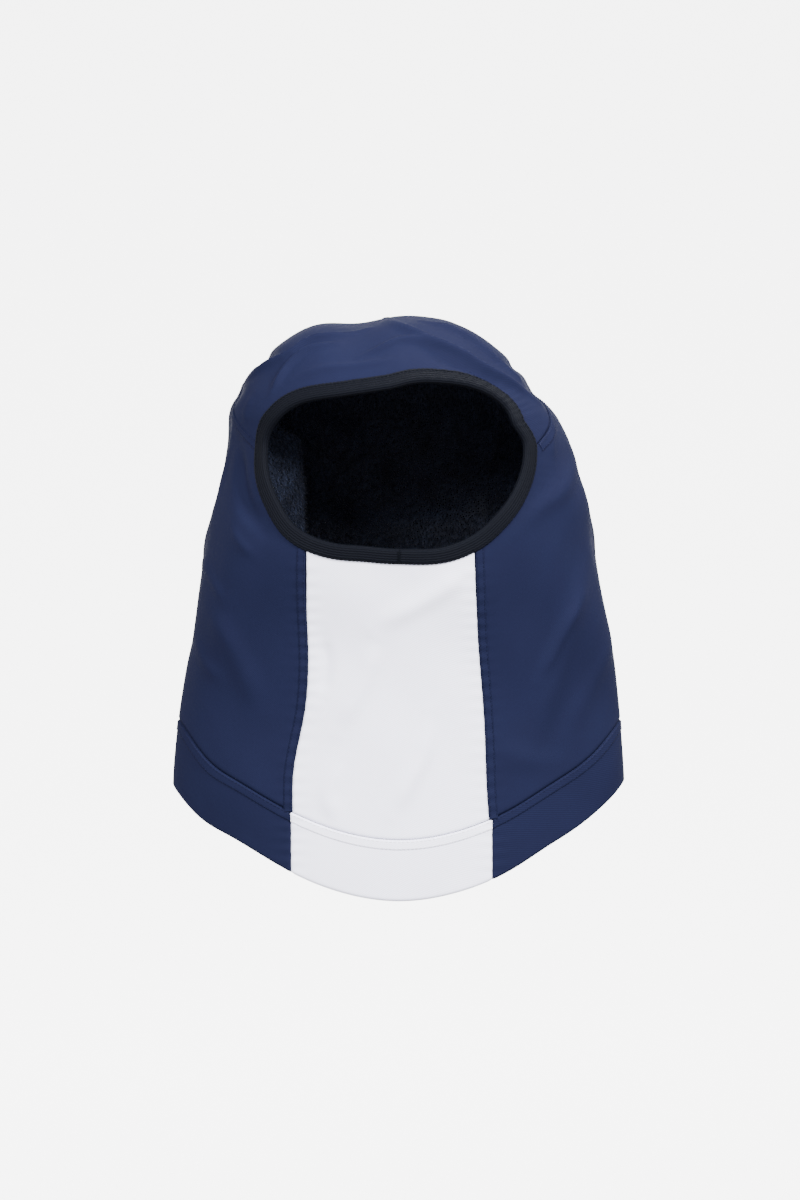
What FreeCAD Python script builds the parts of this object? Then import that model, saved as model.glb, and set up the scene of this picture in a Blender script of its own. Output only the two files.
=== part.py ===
import FreeCAD, Part
import math
import os

# A softshell balaclava with a full-face opening, a contrasting front panel and a bib hem, in millimetres.
# The face looks along -Y, the wearer's left is at +X and +Z is up. The origin is the middle of the head
# at eye level. The garment is shown as worn, open at the bottom where the bib lies over the chest and back.
#
# Everything follows one closed surface, the outside of the fabric: at each height it is a superellipse
# whose half width and half depth come from the functions below. A place on it is a height and an angle,
# 0 degrees at the front, 90 at the wearer's left and 180 at the back. Depths are measured inwards from it.

# ---- driving dimensions ----

CROWN_TOP = 88.0                # height of the top of the crown over eye level
DOME_START = 20.0               # height where the sides begin to close into the crown
HALF_WIDTH_AT_DOME = 108.0      # half of the outside width at the start of the dome
DOME_SLOPE = 0.258              # how fast that half width shrinks with height before the dome rounds it off
DOME_WIDTH_POWER = 0.316        # how squarely the dome closes, seen from the front
DOME_DEPTH_POWER = 0.36         # the same seen from the side
HALF_WIDTH_AT_HEM = 149.0       # half of the outside width at the side corners of the hem
HALF_DEPTH_HEAD = 95.0          # half of the outside depth round the head
HALF_DEPTH_BIB = 72.0           # half of the outside depth of the bib
HEAD_BOTTOM = -5.0              # height where the depth starts to shrink from head to bib
DEPTH_FADE = 85.0               # height over which it shrinks
CHIN_FORWARD = 6.0              # how far the chin pushes the front out
CHIN_HEIGHT = -85.0             # height of the chin
CHIN_SPREAD = 45.0              # how far above and below the chin the push fades
HEAD_FULLNESS = 2.1             # exponent of the section round the head, 2 being an ellipse
BIB_FULLNESS = 1.75             # the same in the bib, which has a soft crease at each side

SIDE_HEM_HEIGHT = -218.0        # lowest point of the hem at the sides
FRONT_DROP = 74.0               # how much lower the front of the bib hangs than its sides
BACK_DROP = 62.0                # the same at the back
HEM_CURVE = 2.2                 # how pointed the hem is at the front and back
BAND_HEIGHT = 40.0              # height of the folded hem band
BAND_SPACE = 2.0                # room between the two layers of the band

OPENING_HALF_WIDTH = 87.0       # face opening inside the binding
OPENING_UP = 42.5               # from its widest level to its top
OPENING_DOWN = 67.0             # from its widest level to its bottom
OPENING_LEVEL = 2.0             # height of its widest level
OPENING_SHAPE = 2.3             # exponent of the outline, 2 being an ellipse
FABRIC_EDGE = 3.0               # the cloth stops this far outside the inner edge of the binding

FRONT_HALF_TOP = 55.0           # half width of the front panel where it meets the binding
FRONT_HALF_BOTTOM = 66.0        # half width of the front panel at the hem
BACK_HALF_NAPE = 62.0           # half width of the back strip at the nape
BACK_HALF_HEM = 56.0            # half width of the back strip at the hem seam
SEAM_START_TURN = 93.0          # turn on the opening's outline where the crown seam meets it
SIDE_FRONT_SHARE = 0.58         # share of a side panel's rows that lie along the front seam

SHELL_THICK = 1.4               # softshell fabric
PILE_THICK = 4.0                # plush lining with its pile
PILE_PRESSED = 1.2              # plush lining pressed flat under the binding
LAYER_GAP = 0.3                 # air between one layer and the next
SEAM_GAP = 0.2                  # half of the gap left between neighbouring panels

BINDING_WIDTH = 10.0            # width of each leg of the folded elastic
BINDING_THICK = 1.1             # thickness of the elastic
TAPE_WIDTH = 6.0                # felled strip beside a seam
TAPE_THICK = 0.7
TAPE_INSET = 0.2                # from a seam to the strip beside it
HEM_TAPE_INSET = 0.6            # from the hem seam to the strip under it
TACK_WIDTH = 1.6                # bar of thread across the binding's join
TACK_THICK = 0.8
LABEL_TOP = -92.0               # height of the label's upper edge at the nape
LABEL_WIDTH = 35.0
LABEL_HEIGHT = 22.0
LABEL_THICK = 0.4

PIVOT = -20.0                   # height of the sideways axis that the crown panel's rows turn about


# ---- the outside surface ----

def smooth_step(low, high, value):
    """0 below low, 1 above high and a smooth rise between."""
    part = min(max((value - low) / (high - low), 0.0), 1.0)
    return part * part * (3.0 - 2.0 * part)


def dome(height, power):
    """1 below the dome, closing to 0 at the top of the crown."""
    part = min(max((height - DOME_START) / (CROWN_TOP - DOME_START), 0.0), 1.0)
    return (1.0 - part ** 1.5) ** power


def half_width(height):
    """Half of the outside width, flaring from the head to the hem."""
    if height > DOME_START:
        return (HALF_WIDTH_AT_DOME - DOME_SLOPE * (height - DOME_START)) * dome(height, DOME_WIDTH_POWER)
    rise = max(height - SIDE_HEM_HEIGHT, 0.0) / (DOME_START - SIDE_HEM_HEIGHT)
    return HALF_WIDTH_AT_HEM - (HALF_WIDTH_AT_HEM - HALF_WIDTH_AT_DOME) * rise ** 1.5


def half_depth(height):
    """Half of the outside depth: full round the head, slimmer below the chin."""
    swell = math.exp(-(min(height - HEAD_BOTTOM, 0.0) / DEPTH_FADE) ** 2)
    return (HALF_DEPTH_BIB + (HALF_DEPTH_HEAD - HALF_DEPTH_BIB) * swell) * dome(height, DOME_DEPTH_POWER)


def middle(height):
    """Where the middle of the section lies along Y."""
    return -CHIN_FORWARD * math.exp(-((height - CHIN_HEIGHT) / CHIN_SPREAD) ** 2)


def fullness(height):
    """Exponent of the section: round at the head, lens-like with a crease at each side in the bib."""
    return HEAD_FULLNESS + (BIB_FULLNESS - HEAD_FULLNESS) * smooth_step(60.0, 220.0, -height)


def over(x, y, z):
    """How far a point is outside the surface, as a ratio: 0 on it, negative inside."""
    if z >= CROWN_TOP:
        return 1.0
    power = fullness(z)
    return abs(x / half_width(z)) ** power + abs((y - middle(z)) / half_depth(z)) ** power - 1.0


def outward(place):
    """Unit normal of the surface at a place on it."""
    step = 0.05
    slopes = []
    for axis in range(3):
        ahead = list(place)
        behind = list(place)
        ahead[axis] += step
        behind[axis] -= step
        slopes.append(over(*ahead) - over(*behind))
    size = math.sqrt(sum(slope * slope for slope in slopes))
    return [slope / size for slope in slopes]


def sink(place, depth):
    """The point at a depth under a place on the surface; a negative depth stands proud."""
    normal = outward(place)
    return FreeCAD.Vector(*[place[axis] - normal[axis] * depth for axis in range(3)])


def ring_place(angle, height):
    """The place on the surface at an angle in degrees and a height."""
    turn = math.radians(angle)
    power = 2.0 / fullness(height)
    across = math.copysign(abs(math.sin(turn)) ** power, math.sin(turn))
    along = math.copysign(abs(math.cos(turn)) ** power, math.cos(turn))
    return [half_width(height) * across, middle(height) - half_depth(height) * along, height]


def angle_at(x, height):
    """The front angle at which the surface is x wide at a height."""
    ratio = min(abs(x) / half_width(height), 1.0)
    return math.degrees(math.asin(ratio ** (fullness(height) / 2.0)))


def fan_place(x, fan):
    """The place at x on the half plane that turns about the pivot axis: 0 level ahead, 90 straight up."""
    turn = math.radians(fan)
    near = 0.0
    far = 200.0
    for _ in range(44):
        reach = (near + far) / 2.0
        if over(x, -reach * math.cos(turn), PIVOT + reach * math.sin(turn)) > 0.0:
            far = reach
        else:
            near = reach
    return [x, -near * math.cos(turn), PIVOT + near * math.sin(turn)]


def settle(point):
    """The place on the surface nearest to a point that is close to it."""
    place = list(point)
    for _ in range(6):
        normal = outward(place)
        step = 0.05
        ahead = [place[axis] + normal[axis] * step for axis in range(3)]
        slope = (over(*ahead) - over(*place)) / step
        miss = over(*place) / slope
        place = [place[axis] - normal[axis] * miss for axis in range(3)]
    return place


# ---- seam lines ----

def opening_outline(turn, grow):
    """X and Z of the face opening, grown by a width; turn is 0 at the top, 90 at the wearer's left."""
    power = 2.0 / OPENING_SHAPE
    sine = math.sin(math.radians(turn))
    cosine = math.cos(math.radians(turn))
    reach = OPENING_UP if cosine > 0.0 else OPENING_DOWN
    x = (OPENING_HALF_WIDTH + grow) * math.copysign(abs(sine) ** power, sine)
    z = (reach + grow) * math.copysign(abs(cosine) ** power, cosine)
    return x, OPENING_LEVEL + z


def opening_place(turn, grow):
    """The place on the surface at the face opening's outline."""
    x, z = opening_outline(turn, grow)
    return ring_place(math.copysign(angle_at(x, z), x), z)


def out_of_opening(place):
    """Roughly how far a place on the surface is outside the face opening, in millimetres."""
    if place[1] > 0.0:
        return OPENING_HALF_WIDTH
    reach = OPENING_UP if place[2] > OPENING_LEVEL else OPENING_DOWN
    wide = abs(place[0]) / OPENING_HALF_WIDTH
    tall = abs(place[2] - OPENING_LEVEL) / reach
    ratio = (wide ** OPENING_SHAPE + tall ** OPENING_SHAPE) ** (1.0 / OPENING_SHAPE)
    return (ratio - 1.0) * reach


def hem_height(angle):
    """Height of the folded lower edge of the hem at an angle."""
    drop = FRONT_DROP if math.cos(math.radians(angle)) > 0.0 else BACK_DROP
    return SIDE_HEM_HEIGHT - drop * (1.0 - abs(math.sin(math.radians(angle))) ** HEM_CURVE)


def hem_seam_height(angle):
    """Height of the seam where the panels meet the hem band."""
    return hem_height(angle) + BAND_HEIGHT


def front_half(height):
    """Half width of the front panel at a height."""
    part = smooth_step(-60.0, 290.0, -height)
    return FRONT_HALF_TOP + (FRONT_HALF_BOTTOM - FRONT_HALF_TOP) * part


def front_seam_angle(height):
    """Angle of the wearer's left front seam at a height."""
    return angle_at(front_half(height), height)


def back_half(height):
    """Half width of the back strip at a height under the pivot."""
    return BACK_HALF_NAPE + (BACK_HALF_HEM - BACK_HALF_NAPE) * smooth_step(-PIVOT, 230.0, -height)


def back_seam_angle(height):
    """Angle of the wearer's left back seam at a height."""
    return 180.0 - angle_at(back_half(height), height)


def meet(line, level, low, high):
    """The height between low and high at which a seam line, an angle for each height, meets a level curve."""
    for _ in range(40):
        height = (low + high) / 2.0
        if height < level(line(height)):
            low = height
        else:
            high = height
    return low


def foot_height(line):
    """The height at which a seam line meets the hem seam."""
    return meet(line, hem_seam_height, -280.0, -150.0)


SEAM_START = opening_place(SEAM_START_TURN, FABRIC_EDGE)
SEAM_START_FAN = math.degrees(math.atan2(SEAM_START[2] - PIVOT, -SEAM_START[1]))

# half width of the crown panel at a few fan angles, from the temple over to the nape
CROWN_SEAM = [
    (SEAM_START_FAN, SEAM_START[0]),
    (30.0, 95.5),
    (62.0, 102.0),
    (90.0, 97.0),
    (135.0, 80.0),
    (180.0, BACK_HALF_NAPE),
]


def crown_seam_curve():
    """A smooth curve through the crown seam's points, laid out flat as fan angle and x."""
    curve = Part.BSplineCurve()
    curve.interpolate([FreeCAD.Vector(fan, x, 0.0) for fan, x in CROWN_SEAM])
    return curve


SEAM_CURVE = crown_seam_curve()


def crown_seam(part):
    """Fan angle and half width along the crown seam, from the opening at 0 to the nape at 1."""
    fan = SEAM_START_FAN + (180.0 - SEAM_START_FAN) * part
    low = SEAM_CURVE.FirstParameter
    high = SEAM_CURVE.LastParameter
    for _ in range(40):
        guess = (low + high) / 2.0
        if SEAM_CURVE.value(guess).x < fan:
            low = guess
        else:
            high = guess
    return fan, SEAM_CURVE.value(low).y


def crown_seam_place(part):
    """The place on the wearer's left crown seam, from the opening at 0 to the nape at 1."""
    fan, x = crown_seam(part)
    return fan_place(x, fan)


# ---- solids ----

def knots_for(count):
    """Even knots and their multiplicities for a row of poles, clamped at both ends."""
    spans = count - 3
    return list(range(spans + 1)), [4] + [1] * (spans - 1) + [4]


def surface_over(net):
    """A smooth face drawn by a net of points, which passes through the net's corners."""
    surface = Part.BSplineSurface()
    u_knots, u_counts = knots_for(len(net))
    v_knots, v_counts = knots_for(len(net[0]))
    surface.buildFromPolesMultsKnots(net, u_counts, v_counts, u_knots, v_knots, False, False, 3, 3)
    return surface.toShape()


def edge_between(outer_row, inner_row):
    """The narrow face between matching border rows of two nets."""
    surface = Part.BSplineSurface()
    knots, counts = knots_for(len(outer_row))
    surface.buildFromPolesMultsKnots([outer_row, inner_row], [2, 2], counts, [0, 1], knots, False, False, 1, 3)
    return surface.toShape()


def borders(net):
    """The four border rows of a net of points."""
    return [net[0], net[-1], [row[0] for row in net], [row[-1] for row in net]]


def closed_solid(faces):
    """A closed solid from faces that share their edges."""
    shell = Part.makeShell(faces)
    shell.sewShape()
    solid = Part.makeSolid(shell)
    solid.fix(0.001, 0.001, 0.001)
    if solid.Volume < 0.0:
        solid.reverse()
    if not solid.isValid():
        raise RuntimeError("a solid is not valid")
    return solid


def sheet_between(outer_net, inner_net):
    """A sheet between two faces, each drawn by a net of points."""
    faces = [surface_over(outer_net), surface_over(inner_net)]
    for outer_row, inner_row in zip(borders(outer_net), borders(inner_net)):
        faces.append(edge_between(outer_row, inner_row))
    return closed_solid(faces)


def sheet_solid(places, depth_out, depth_in):
    """A sheet of cloth through rows of places on the surface, between two depths.

    Either depth is a number or a function of the place."""
    def at_depth(depth):
        return [[sink(place, depth(place) if callable(depth) else depth) for place in row] for row in places]

    return sheet_between(at_depth(depth_out), at_depth(depth_in))


def folded_rows(legs, toward, centre_depth, reach):
    """One row across a sheet folded round an edge: down one leg, round the fold and up the other.

    legs are places from the sheet's border to the start of the fold, toward is the direction of the fold
    and reach is how far this face of the sheet stands from the fold's middle."""
    normal = FreeCAD.Vector(*outward(legs[-1]))
    centre = sink(legs[-1], centre_depth)
    row = [sink(place, centre_depth - reach) for place in legs]
    for turn in (36.0, 72.0, 108.0, 144.0):
        angle = math.radians(turn)
        row.append(centre + toward * (reach * math.sin(angle)) + normal * (reach * math.cos(angle)))
    row += [sink(place, centre_depth + reach) for place in reversed(legs)]
    return row


def mirrored(places):
    """The same places on the other side of the garment."""
    return [[[-place[0], place[1], place[2]] for place in row] for row in places]


def spread(count, low=0.0, high=1.0):
    """Evenly spaced numbers from low to high."""
    return [low + (high - low) * step / (count - 1) for step in range(count)]


def blend(low_u, high_u, low_v, high_v, u, v):
    """A point of the patch inside four border curves, each a function from 0 to 1."""
    point = []
    for axis in range(2):
        across = (1.0 - u) * low_u(v)[axis] + u * high_u(v)[axis]
        along = (1.0 - v) * low_v(u)[axis] + v * high_v(u)[axis]
        corners = (1.0 - u) * (1.0 - v) * low_v(0.0)[axis] + u * (1.0 - v) * low_v(1.0)[axis]
        corners += (1.0 - u) * v * high_v(0.0)[axis] + u * v * high_v(1.0)[axis]
        point.append(across + along - corners)
    return point


# ---- the panels as rows of places ----

def crown_places(edge, trim):
    """The crown panel: edge is how far outside the opening it starts, trim is taken off at its other seams."""
    start_turn = SEAM_START_TURN - trim * 0.6

    def front(part):
        place = opening_place(start_turn * (2.0 * part - 1.0), edge)
        return [place[0], math.degrees(math.atan2(place[2] - PIVOT, -place[1]))]

    start_x, start_fan = front(1.0)

    def seam_left(part):
        fan, x = crown_seam(part)
        share = (fan - SEAM_START_FAN) / (180.0 - SEAM_START_FAN)
        shift = (start_x - SEAM_START[0] + trim) * (1.0 - part) ** 8
        return [x - trim + shift, start_fan + share * (180.0 - start_fan)]

    def seam_right(part):
        point = seam_left(part)
        return [-point[0], point[1]]

    def nape(part):
        return [(BACK_HALF_NAPE - trim) * (2.0 * part - 1.0), 180.0]

    rows = []
    for v in spread(27):
        row = []
        for u in spread(35):
            x, fan = blend(seam_right, seam_left, front, nape, u, v)
            row.append(fan_place(x, fan))
        rows.append(row)
    for v in spread(15)[1:]:
        row = []
        for u in spread(35):
            side = 2.0 * u - 1.0
            end = 180.0 - angle_at(BACK_HALF_HEM * side, -200.0)
            low = hem_seam_height(end) + trim
            height = PIVOT + (low - PIVOT) * v
            x = (back_half(height) - trim) * side
            row.append(ring_place(180.0 - math.copysign(angle_at(x, height), x), height))
        rows.append(row)
    return rows


def side_places(edge, trim):
    """The wearer's left side panel: edge and trim as for the crown panel."""
    front_foot = foot_height(front_seam_angle)
    back_foot = foot_height(back_seam_angle)
    join_turn = opening_turn_at(FRONT_HALF_TOP + trim, edge)
    join_height = opening_outline(join_turn, edge)[1]
    top_turn = SEAM_START_TURN + trim * 0.6

    def front(part):
        if part < SIDE_FRONT_SHARE:
            height = front_foot + trim + (join_height - front_foot - trim) * part / SIDE_FRONT_SHARE
            return [angle_at(front_half(height) + trim, height), height]
        turn = join_turn + (top_turn - join_turn) * (part - SIDE_FRONT_SHARE) / (1.0 - SIDE_FRONT_SHARE)
        x, height = opening_outline(turn, edge)
        return [angle_at(x, height), height]

    def back(part):
        height = back_foot + trim + (PIVOT - back_foot - trim) * part
        return [180.0 - angle_at(back_half(height) + trim, height), height]

    def top(part):
        place = crown_seam_place(part)
        normal = outward(place)
        ahead = crown_seam_place(min(part + 0.01, 1.0))
        behind = crown_seam_place(max(part - 0.01, 0.0))
        along = FreeCAD.Vector(*ahead) - FreeCAD.Vector(*behind)
        out = along.cross(FreeCAD.Vector(*normal)).normalize()
        place = settle(list(FreeCAD.Vector(*place) + out * trim))
        angle = angle_at(place[0], place[2])
        if place[1] > middle(place[2]):
            angle = 180.0 - angle
        start = front(1.0)
        finish = back(1.0)
        keep = min(part, 1.0 - part, 0.08) / 0.08
        goal = start if part < 0.5 else finish
        return [goal[0] + (angle - goal[0]) * keep, goal[1] + (place[2] - goal[1]) * keep]

    def foot(part):
        angle = front(0.0)[0] + (back(0.0)[0] - front(0.0)[0]) * part
        return [angle, hem_seam_height(angle) + trim]

    rows = []
    for v in spread(41):
        row = []
        for u in spread(31):
            angle, height = blend(front, back, foot, top, u, v)
            row.append(ring_place(angle, height))
        rows.append(row)
    return rows


def opening_turn_at(x, edge):
    """The turn on the lower half of the opening's outline where it is x wide."""
    low = 90.0
    high = 180.0
    for _ in range(40):
        turn = (low + high) / 2.0
        if opening_outline(turn, edge)[0] > x:
            low = turn
        else:
            high = turn
    return low


def front_places(edge, trim):
    """The front panel, from the opening's lower edge to the hem seam."""
    join_turn = opening_turn_at(FRONT_HALF_TOP - trim, edge)
    rows = []
    for v in spread(19):
        row = []
        for u in spread(15):
            side = 2.0 * u - 1.0
            turn = 180.0 - (180.0 - join_turn) * side
            top = opening_outline(turn, edge)
            foot = hem_seam_height(angle_at(front_half(-240.0) * side, -240.0)) + trim
            height = top[1] + (foot - top[1]) * v
            reach = front_half(height) - trim
            x = top[0] * (1.0 - min(v * 4.0, 1.0)) + reach * side * min(v * 4.0, 1.0)
            row.append(ring_place(math.copysign(angle_at(x, height), x), height))
        rows.append(row)
    return rows


# ---- strips ----

def folded_band(start, finish, count, trim):
    """A folded hem band between two angles: outer layer, fold and inner layer."""
    outer_reach = SHELL_THICK + BAND_SPACE / 2.0
    inner_reach = BAND_SPACE / 2.0
    outer_rows = []
    inner_rows = []
    for angle in spread(count, start, finish):
        fold = hem_height(angle)
        fold_start = fold + outer_reach
        seam = fold + BAND_HEIGHT - trim
        legs = [ring_place(angle, height) for height in spread(4, seam, fold_start)]
        toward = FreeCAD.Vector(*ring_place(angle, fold)) - FreeCAD.Vector(*legs[-1])
        toward.normalize()
        outer_rows.append(folded_rows(legs, toward, outer_reach, outer_reach))
        inner_rows.append(folded_rows(legs, toward, outer_reach, inner_reach))
    return sheet_between(outer_rows, inner_rows)


def tape_between(line_low, line_high):
    """A flat strip standing on the outside of the cloth between two lines of places."""
    rows = []
    for low, high in zip(line_low, line_high):
        rows.append([settle([low[axis] + (high[axis] - low[axis]) * part for axis in range(3)])
                     for part in spread(4)])
    return sheet_solid(rows, -LAYER_GAP - TAPE_THICK, -LAYER_GAP)


def beside(place, ahead, distance):
    """The place beside a line, a distance to the right of its direction as seen from outside."""
    along = FreeCAD.Vector(*ahead) - FreeCAD.Vector(*place)
    out = along.cross(FreeCAD.Vector(*outward(place))).normalize()
    return settle(list(FreeCAD.Vector(*place) + out * distance))


def crown_tape_places():
    """The lines of the wearer's left crown seam strip, from the binding over to the hem seam."""
    path = [crown_seam_place(part) for part in spread(24, 0.075, 1.0)]
    for height in spread(14, PIVOT, foot_height(back_seam_angle) + 1.0)[1:]:
        path.append(ring_place(back_seam_angle(height), height))
    low = []
    high = []
    for place, ahead in zip(path[:-1], path[1:]):
        low.append(beside(place, ahead, TAPE_INSET))
        high.append(beside(place, ahead, TAPE_WIDTH))
    return low, high


def front_tape_places():
    """The lines of the wearer's left front seam strip, on the side panel's side of the seam."""
    foot = foot_height(front_seam_angle) + 1.0
    top = opening_outline(opening_turn_at(FRONT_HALF_TOP, BINDING_WIDTH), BINDING_WIDTH)[1] - 1.5
    low = []
    high = []
    for line, reach, rise in ((low, TAPE_INSET, 0.0), (high, TAPE_WIDTH, 4.0)):
        for height in spread(18, top + rise, foot + rise):
            line.append(ring_place(angle_at(front_half(height) + reach, height), height))
    return low, high


def hem_tape(start, finish, count):
    """The felled strip just under the hem seam between two angles."""
    low = []
    high = []
    for angle in spread(count, start, finish):
        seam = hem_seam_height(angle)
        low.append(ring_place(angle, seam - HEM_TAPE_INSET - TAPE_WIDTH))
        high.append(ring_place(angle, seam - HEM_TAPE_INSET))
    return tape_between(low, high)


def face_binding():
    """The folded elastic round the face opening, from one side of its join to the other."""
    cloth = SHELL_THICK + LAYER_GAP + PILE_PRESSED
    inner_reach = cloth / 2.0 + LAYER_GAP
    outer_reach = inner_reach + BINDING_THICK
    outer_rows = []
    inner_rows = []
    for turn in spread(97, -179.7, 179.7):
        edge = opening_place(turn, 0.0)
        ahead = opening_place(turn + 0.5, 0.0)
        legs = [beside(edge, ahead, -distance) for distance in spread(4, BINDING_WIDTH, outer_reach)]
        toward = FreeCAD.Vector(*edge) - FreeCAD.Vector(*legs[-1])
        toward.normalize()
        outer_rows.append(folded_rows(legs, toward, cloth / 2.0, outer_reach))
        inner_rows.append(folded_rows(legs, toward, cloth / 2.0, inner_reach))
    return sheet_between(outer_rows, inner_rows)


# ---- the pieces ----

def lining_depth(place):
    """Depth of the pile's inner face: pressed flat under the binding, full a little way off."""
    full = smooth_step(BINDING_WIDTH + 1.0, BINDING_WIDTH + 14.0, out_of_opening(place))
    return SHELL_THICK + LAYER_GAP + PILE_PRESSED + (PILE_THICK - PILE_PRESSED) * full


def panel_pieces():
    """Outer panels and the lining behind each."""
    lining_outer = SHELL_THICK + LAYER_GAP
    lining_trim = 1.0
    crown = crown_places(FABRIC_EDGE, SEAM_GAP)
    side = side_places(FABRIC_EDGE, SEAM_GAP)
    front = front_places(FABRIC_EDGE, SEAM_GAP)
    crown_pile = crown_places(FABRIC_EDGE, lining_trim)
    side_pile = side_places(FABRIC_EDGE, lining_trim)
    front_pile = front_places(FABRIC_EDGE, lining_trim)
    return {
        "crown_panel": sheet_solid(crown, 0.0, SHELL_THICK),
        "side_panel_left": sheet_solid(side, 0.0, SHELL_THICK),
        "side_panel_right": sheet_solid(mirrored(side), 0.0, SHELL_THICK),
        "front_panel": sheet_solid(front, 0.0, SHELL_THICK),
        "lining_crown": sheet_solid(crown_pile, lining_outer, lining_depth),
        "lining_left": sheet_solid(side_pile, lining_outer, lining_depth),
        "lining_right": sheet_solid(mirrored(side_pile), lining_outer, lining_depth),
        "lining_front": sheet_solid(front_pile, lining_outer, lining_depth),
    }


def hem_pieces():
    """The four folded bands and the felled strips under their seam."""
    front = front_seam_angle(-250.0)
    back = back_seam_angle(-250.0)
    gap = 0.15
    spans = {
        "front": (-front + gap, front - gap, 17),
        "left": (front + gap, back - gap, 33),
        "right": (-back + gap, -front - gap, 33),
        "back": (back + gap, 360.0 - back - gap, 17),
    }
    pieces = {}
    for name, (start, finish, count) in spans.items():
        pieces["hem_band_" + name] = folded_band(start, finish, count, SEAM_GAP)
        pieces["hem_seam_tape_" + name] = hem_tape(start, finish, count)
    return pieces


def seam_strip_pieces():
    """The felled strips beside the front and crown seams, made on one side and mirrored."""
    pieces = {}
    for name, (low, high) in (("crown", crown_tape_places()), ("front", front_tape_places())):
        pieces[name + "_seam_tape_left"] = tape_between(low, high)
        pieces[name + "_seam_tape_right"] = tape_between(*mirrored([low, high]))
    return pieces


def binding_tack():
    """The tack sewn over the join of the binding, in the middle of the opening's lower edge."""
    centre = sink(opening_place(180.0, BINDING_WIDTH / 2.0), -LAYER_GAP - BINDING_THICK - 0.3)
    tack = Part.makeBox(TACK_WIDTH, TACK_THICK, BINDING_WIDTH - 1.0)
    tack.translate(centre - FreeCAD.Vector(TACK_WIDTH / 2.0, TACK_THICK, (BINDING_WIDTH - 1.0) / 2.0))
    return tack


def care_label():
    """The blank label caught in the lining at the nape."""
    rows = []
    for height in spread(5, LABEL_TOP - LABEL_HEIGHT, LABEL_TOP):
        rows.append([ring_place(180.0 - math.copysign(angle_at(x, height), x), height)
                     for x in spread(7, -LABEL_WIDTH / 2.0, LABEL_WIDTH / 2.0)])
    depth = SHELL_THICK + LAYER_GAP + PILE_THICK + LAYER_GAP
    return sheet_solid(rows, depth, depth + LABEL_THICK)


def main():
    os.makedirs("parts", exist_ok=True)
    pieces = panel_pieces()
    pieces.update(hem_pieces())
    pieces.update(seam_strip_pieces())
    pieces["face_binding"] = face_binding()
    pieces["binding_tack"] = binding_tack()
    pieces["care_label"] = care_label()
    for name, solid in pieces.items():
        solid.exportStep("parts/" + name + ".step")


main()
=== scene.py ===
"""The looks of a softshell balaclava with a bib hem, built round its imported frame.

The shape is worked out in millimetres on one closed surface, the outside of the cloth as worn, and turned to
metres when a mesh is made. The face looks along -Y, the wearer's left is +X and +Z is up.
"""

import math

import bpy
import numpy as np
from bpy.props import FloatProperty, PointerProperty, StringProperty
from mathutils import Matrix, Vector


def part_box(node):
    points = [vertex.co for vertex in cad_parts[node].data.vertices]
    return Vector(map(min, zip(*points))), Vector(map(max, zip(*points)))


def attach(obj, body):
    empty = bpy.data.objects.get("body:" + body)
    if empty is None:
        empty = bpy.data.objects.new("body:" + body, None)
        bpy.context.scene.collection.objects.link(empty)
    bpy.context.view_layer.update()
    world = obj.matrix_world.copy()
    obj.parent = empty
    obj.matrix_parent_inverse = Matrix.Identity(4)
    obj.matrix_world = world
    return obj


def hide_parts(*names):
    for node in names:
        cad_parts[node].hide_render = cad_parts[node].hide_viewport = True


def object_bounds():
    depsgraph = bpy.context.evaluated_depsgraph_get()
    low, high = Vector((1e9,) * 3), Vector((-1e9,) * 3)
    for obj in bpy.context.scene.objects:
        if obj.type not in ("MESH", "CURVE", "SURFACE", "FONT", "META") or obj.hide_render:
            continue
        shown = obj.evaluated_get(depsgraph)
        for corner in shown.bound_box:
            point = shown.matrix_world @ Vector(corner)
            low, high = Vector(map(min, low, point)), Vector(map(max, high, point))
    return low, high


bl_info = {
    "name": "Softshell balaclava",
    "version": (1, 0, 0),
    "blender": (4, 5, 0),
    "location": "View3D > Sidebar > Balaclava",
    "description": "Sews a lined softshell balaclava with a bib hem over its frame",
    "category": "Object",
}

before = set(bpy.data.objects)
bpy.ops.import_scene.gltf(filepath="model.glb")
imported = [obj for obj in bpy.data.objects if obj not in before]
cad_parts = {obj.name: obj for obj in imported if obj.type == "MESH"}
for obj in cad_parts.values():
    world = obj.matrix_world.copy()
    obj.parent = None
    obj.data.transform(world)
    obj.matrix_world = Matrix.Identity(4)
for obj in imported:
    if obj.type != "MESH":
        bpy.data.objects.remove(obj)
CAD_LOW, CAD_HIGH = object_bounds()
MM = 0.001
HALVINGS = 40

# ---- the shape of the garment, in millimetres ----

CROWN_TOP = CAD_HIGH.z / MM + 0.2
HEM_HALF_WIDTH = (CAD_HIGH.x - CAD_LOW.x) / MM / 2.0 + 0.4
FRONT_HEM = CAD_LOW.z / MM
DOME_START = 20.0               # height where the sides begin to close into the crown
DOME_HALF_WIDTH = 108.0
HEAD_HALF_DEPTH = 95.0
BIB_HALF_DEPTH = 72.0
CHIN_FORWARD = 6.0
CHIN_HEIGHT = -85.0
HEM_CURVE = 2.2                 # how pointed the bib's hem is
BAND_HEIGHT = 40.0              # folded hem band
BAND_SPACE = 2.0                # room between its two layers
SIDE_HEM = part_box("hem_seam_tape_left")[1].z / MM - BAND_HEIGHT + 0.6
BACK_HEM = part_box("hem_band_back")[0].z / MM
CROWN_LEAN = -9.0               # the soft crown slumps this far to the wearer's right
CROWN_DIP = 5.2                 # and sinks this much there
RIGHT_JAW_IN = 3.0
LEFT_CHEEK_OUT = 3.0
HEM_DROPS = [(-134.0, 8.0, 22.0), (134.0, 2.5, 30.0), (98.0, -1.5, 20.0)]     # x, how far the hem hangs down, reach

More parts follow.
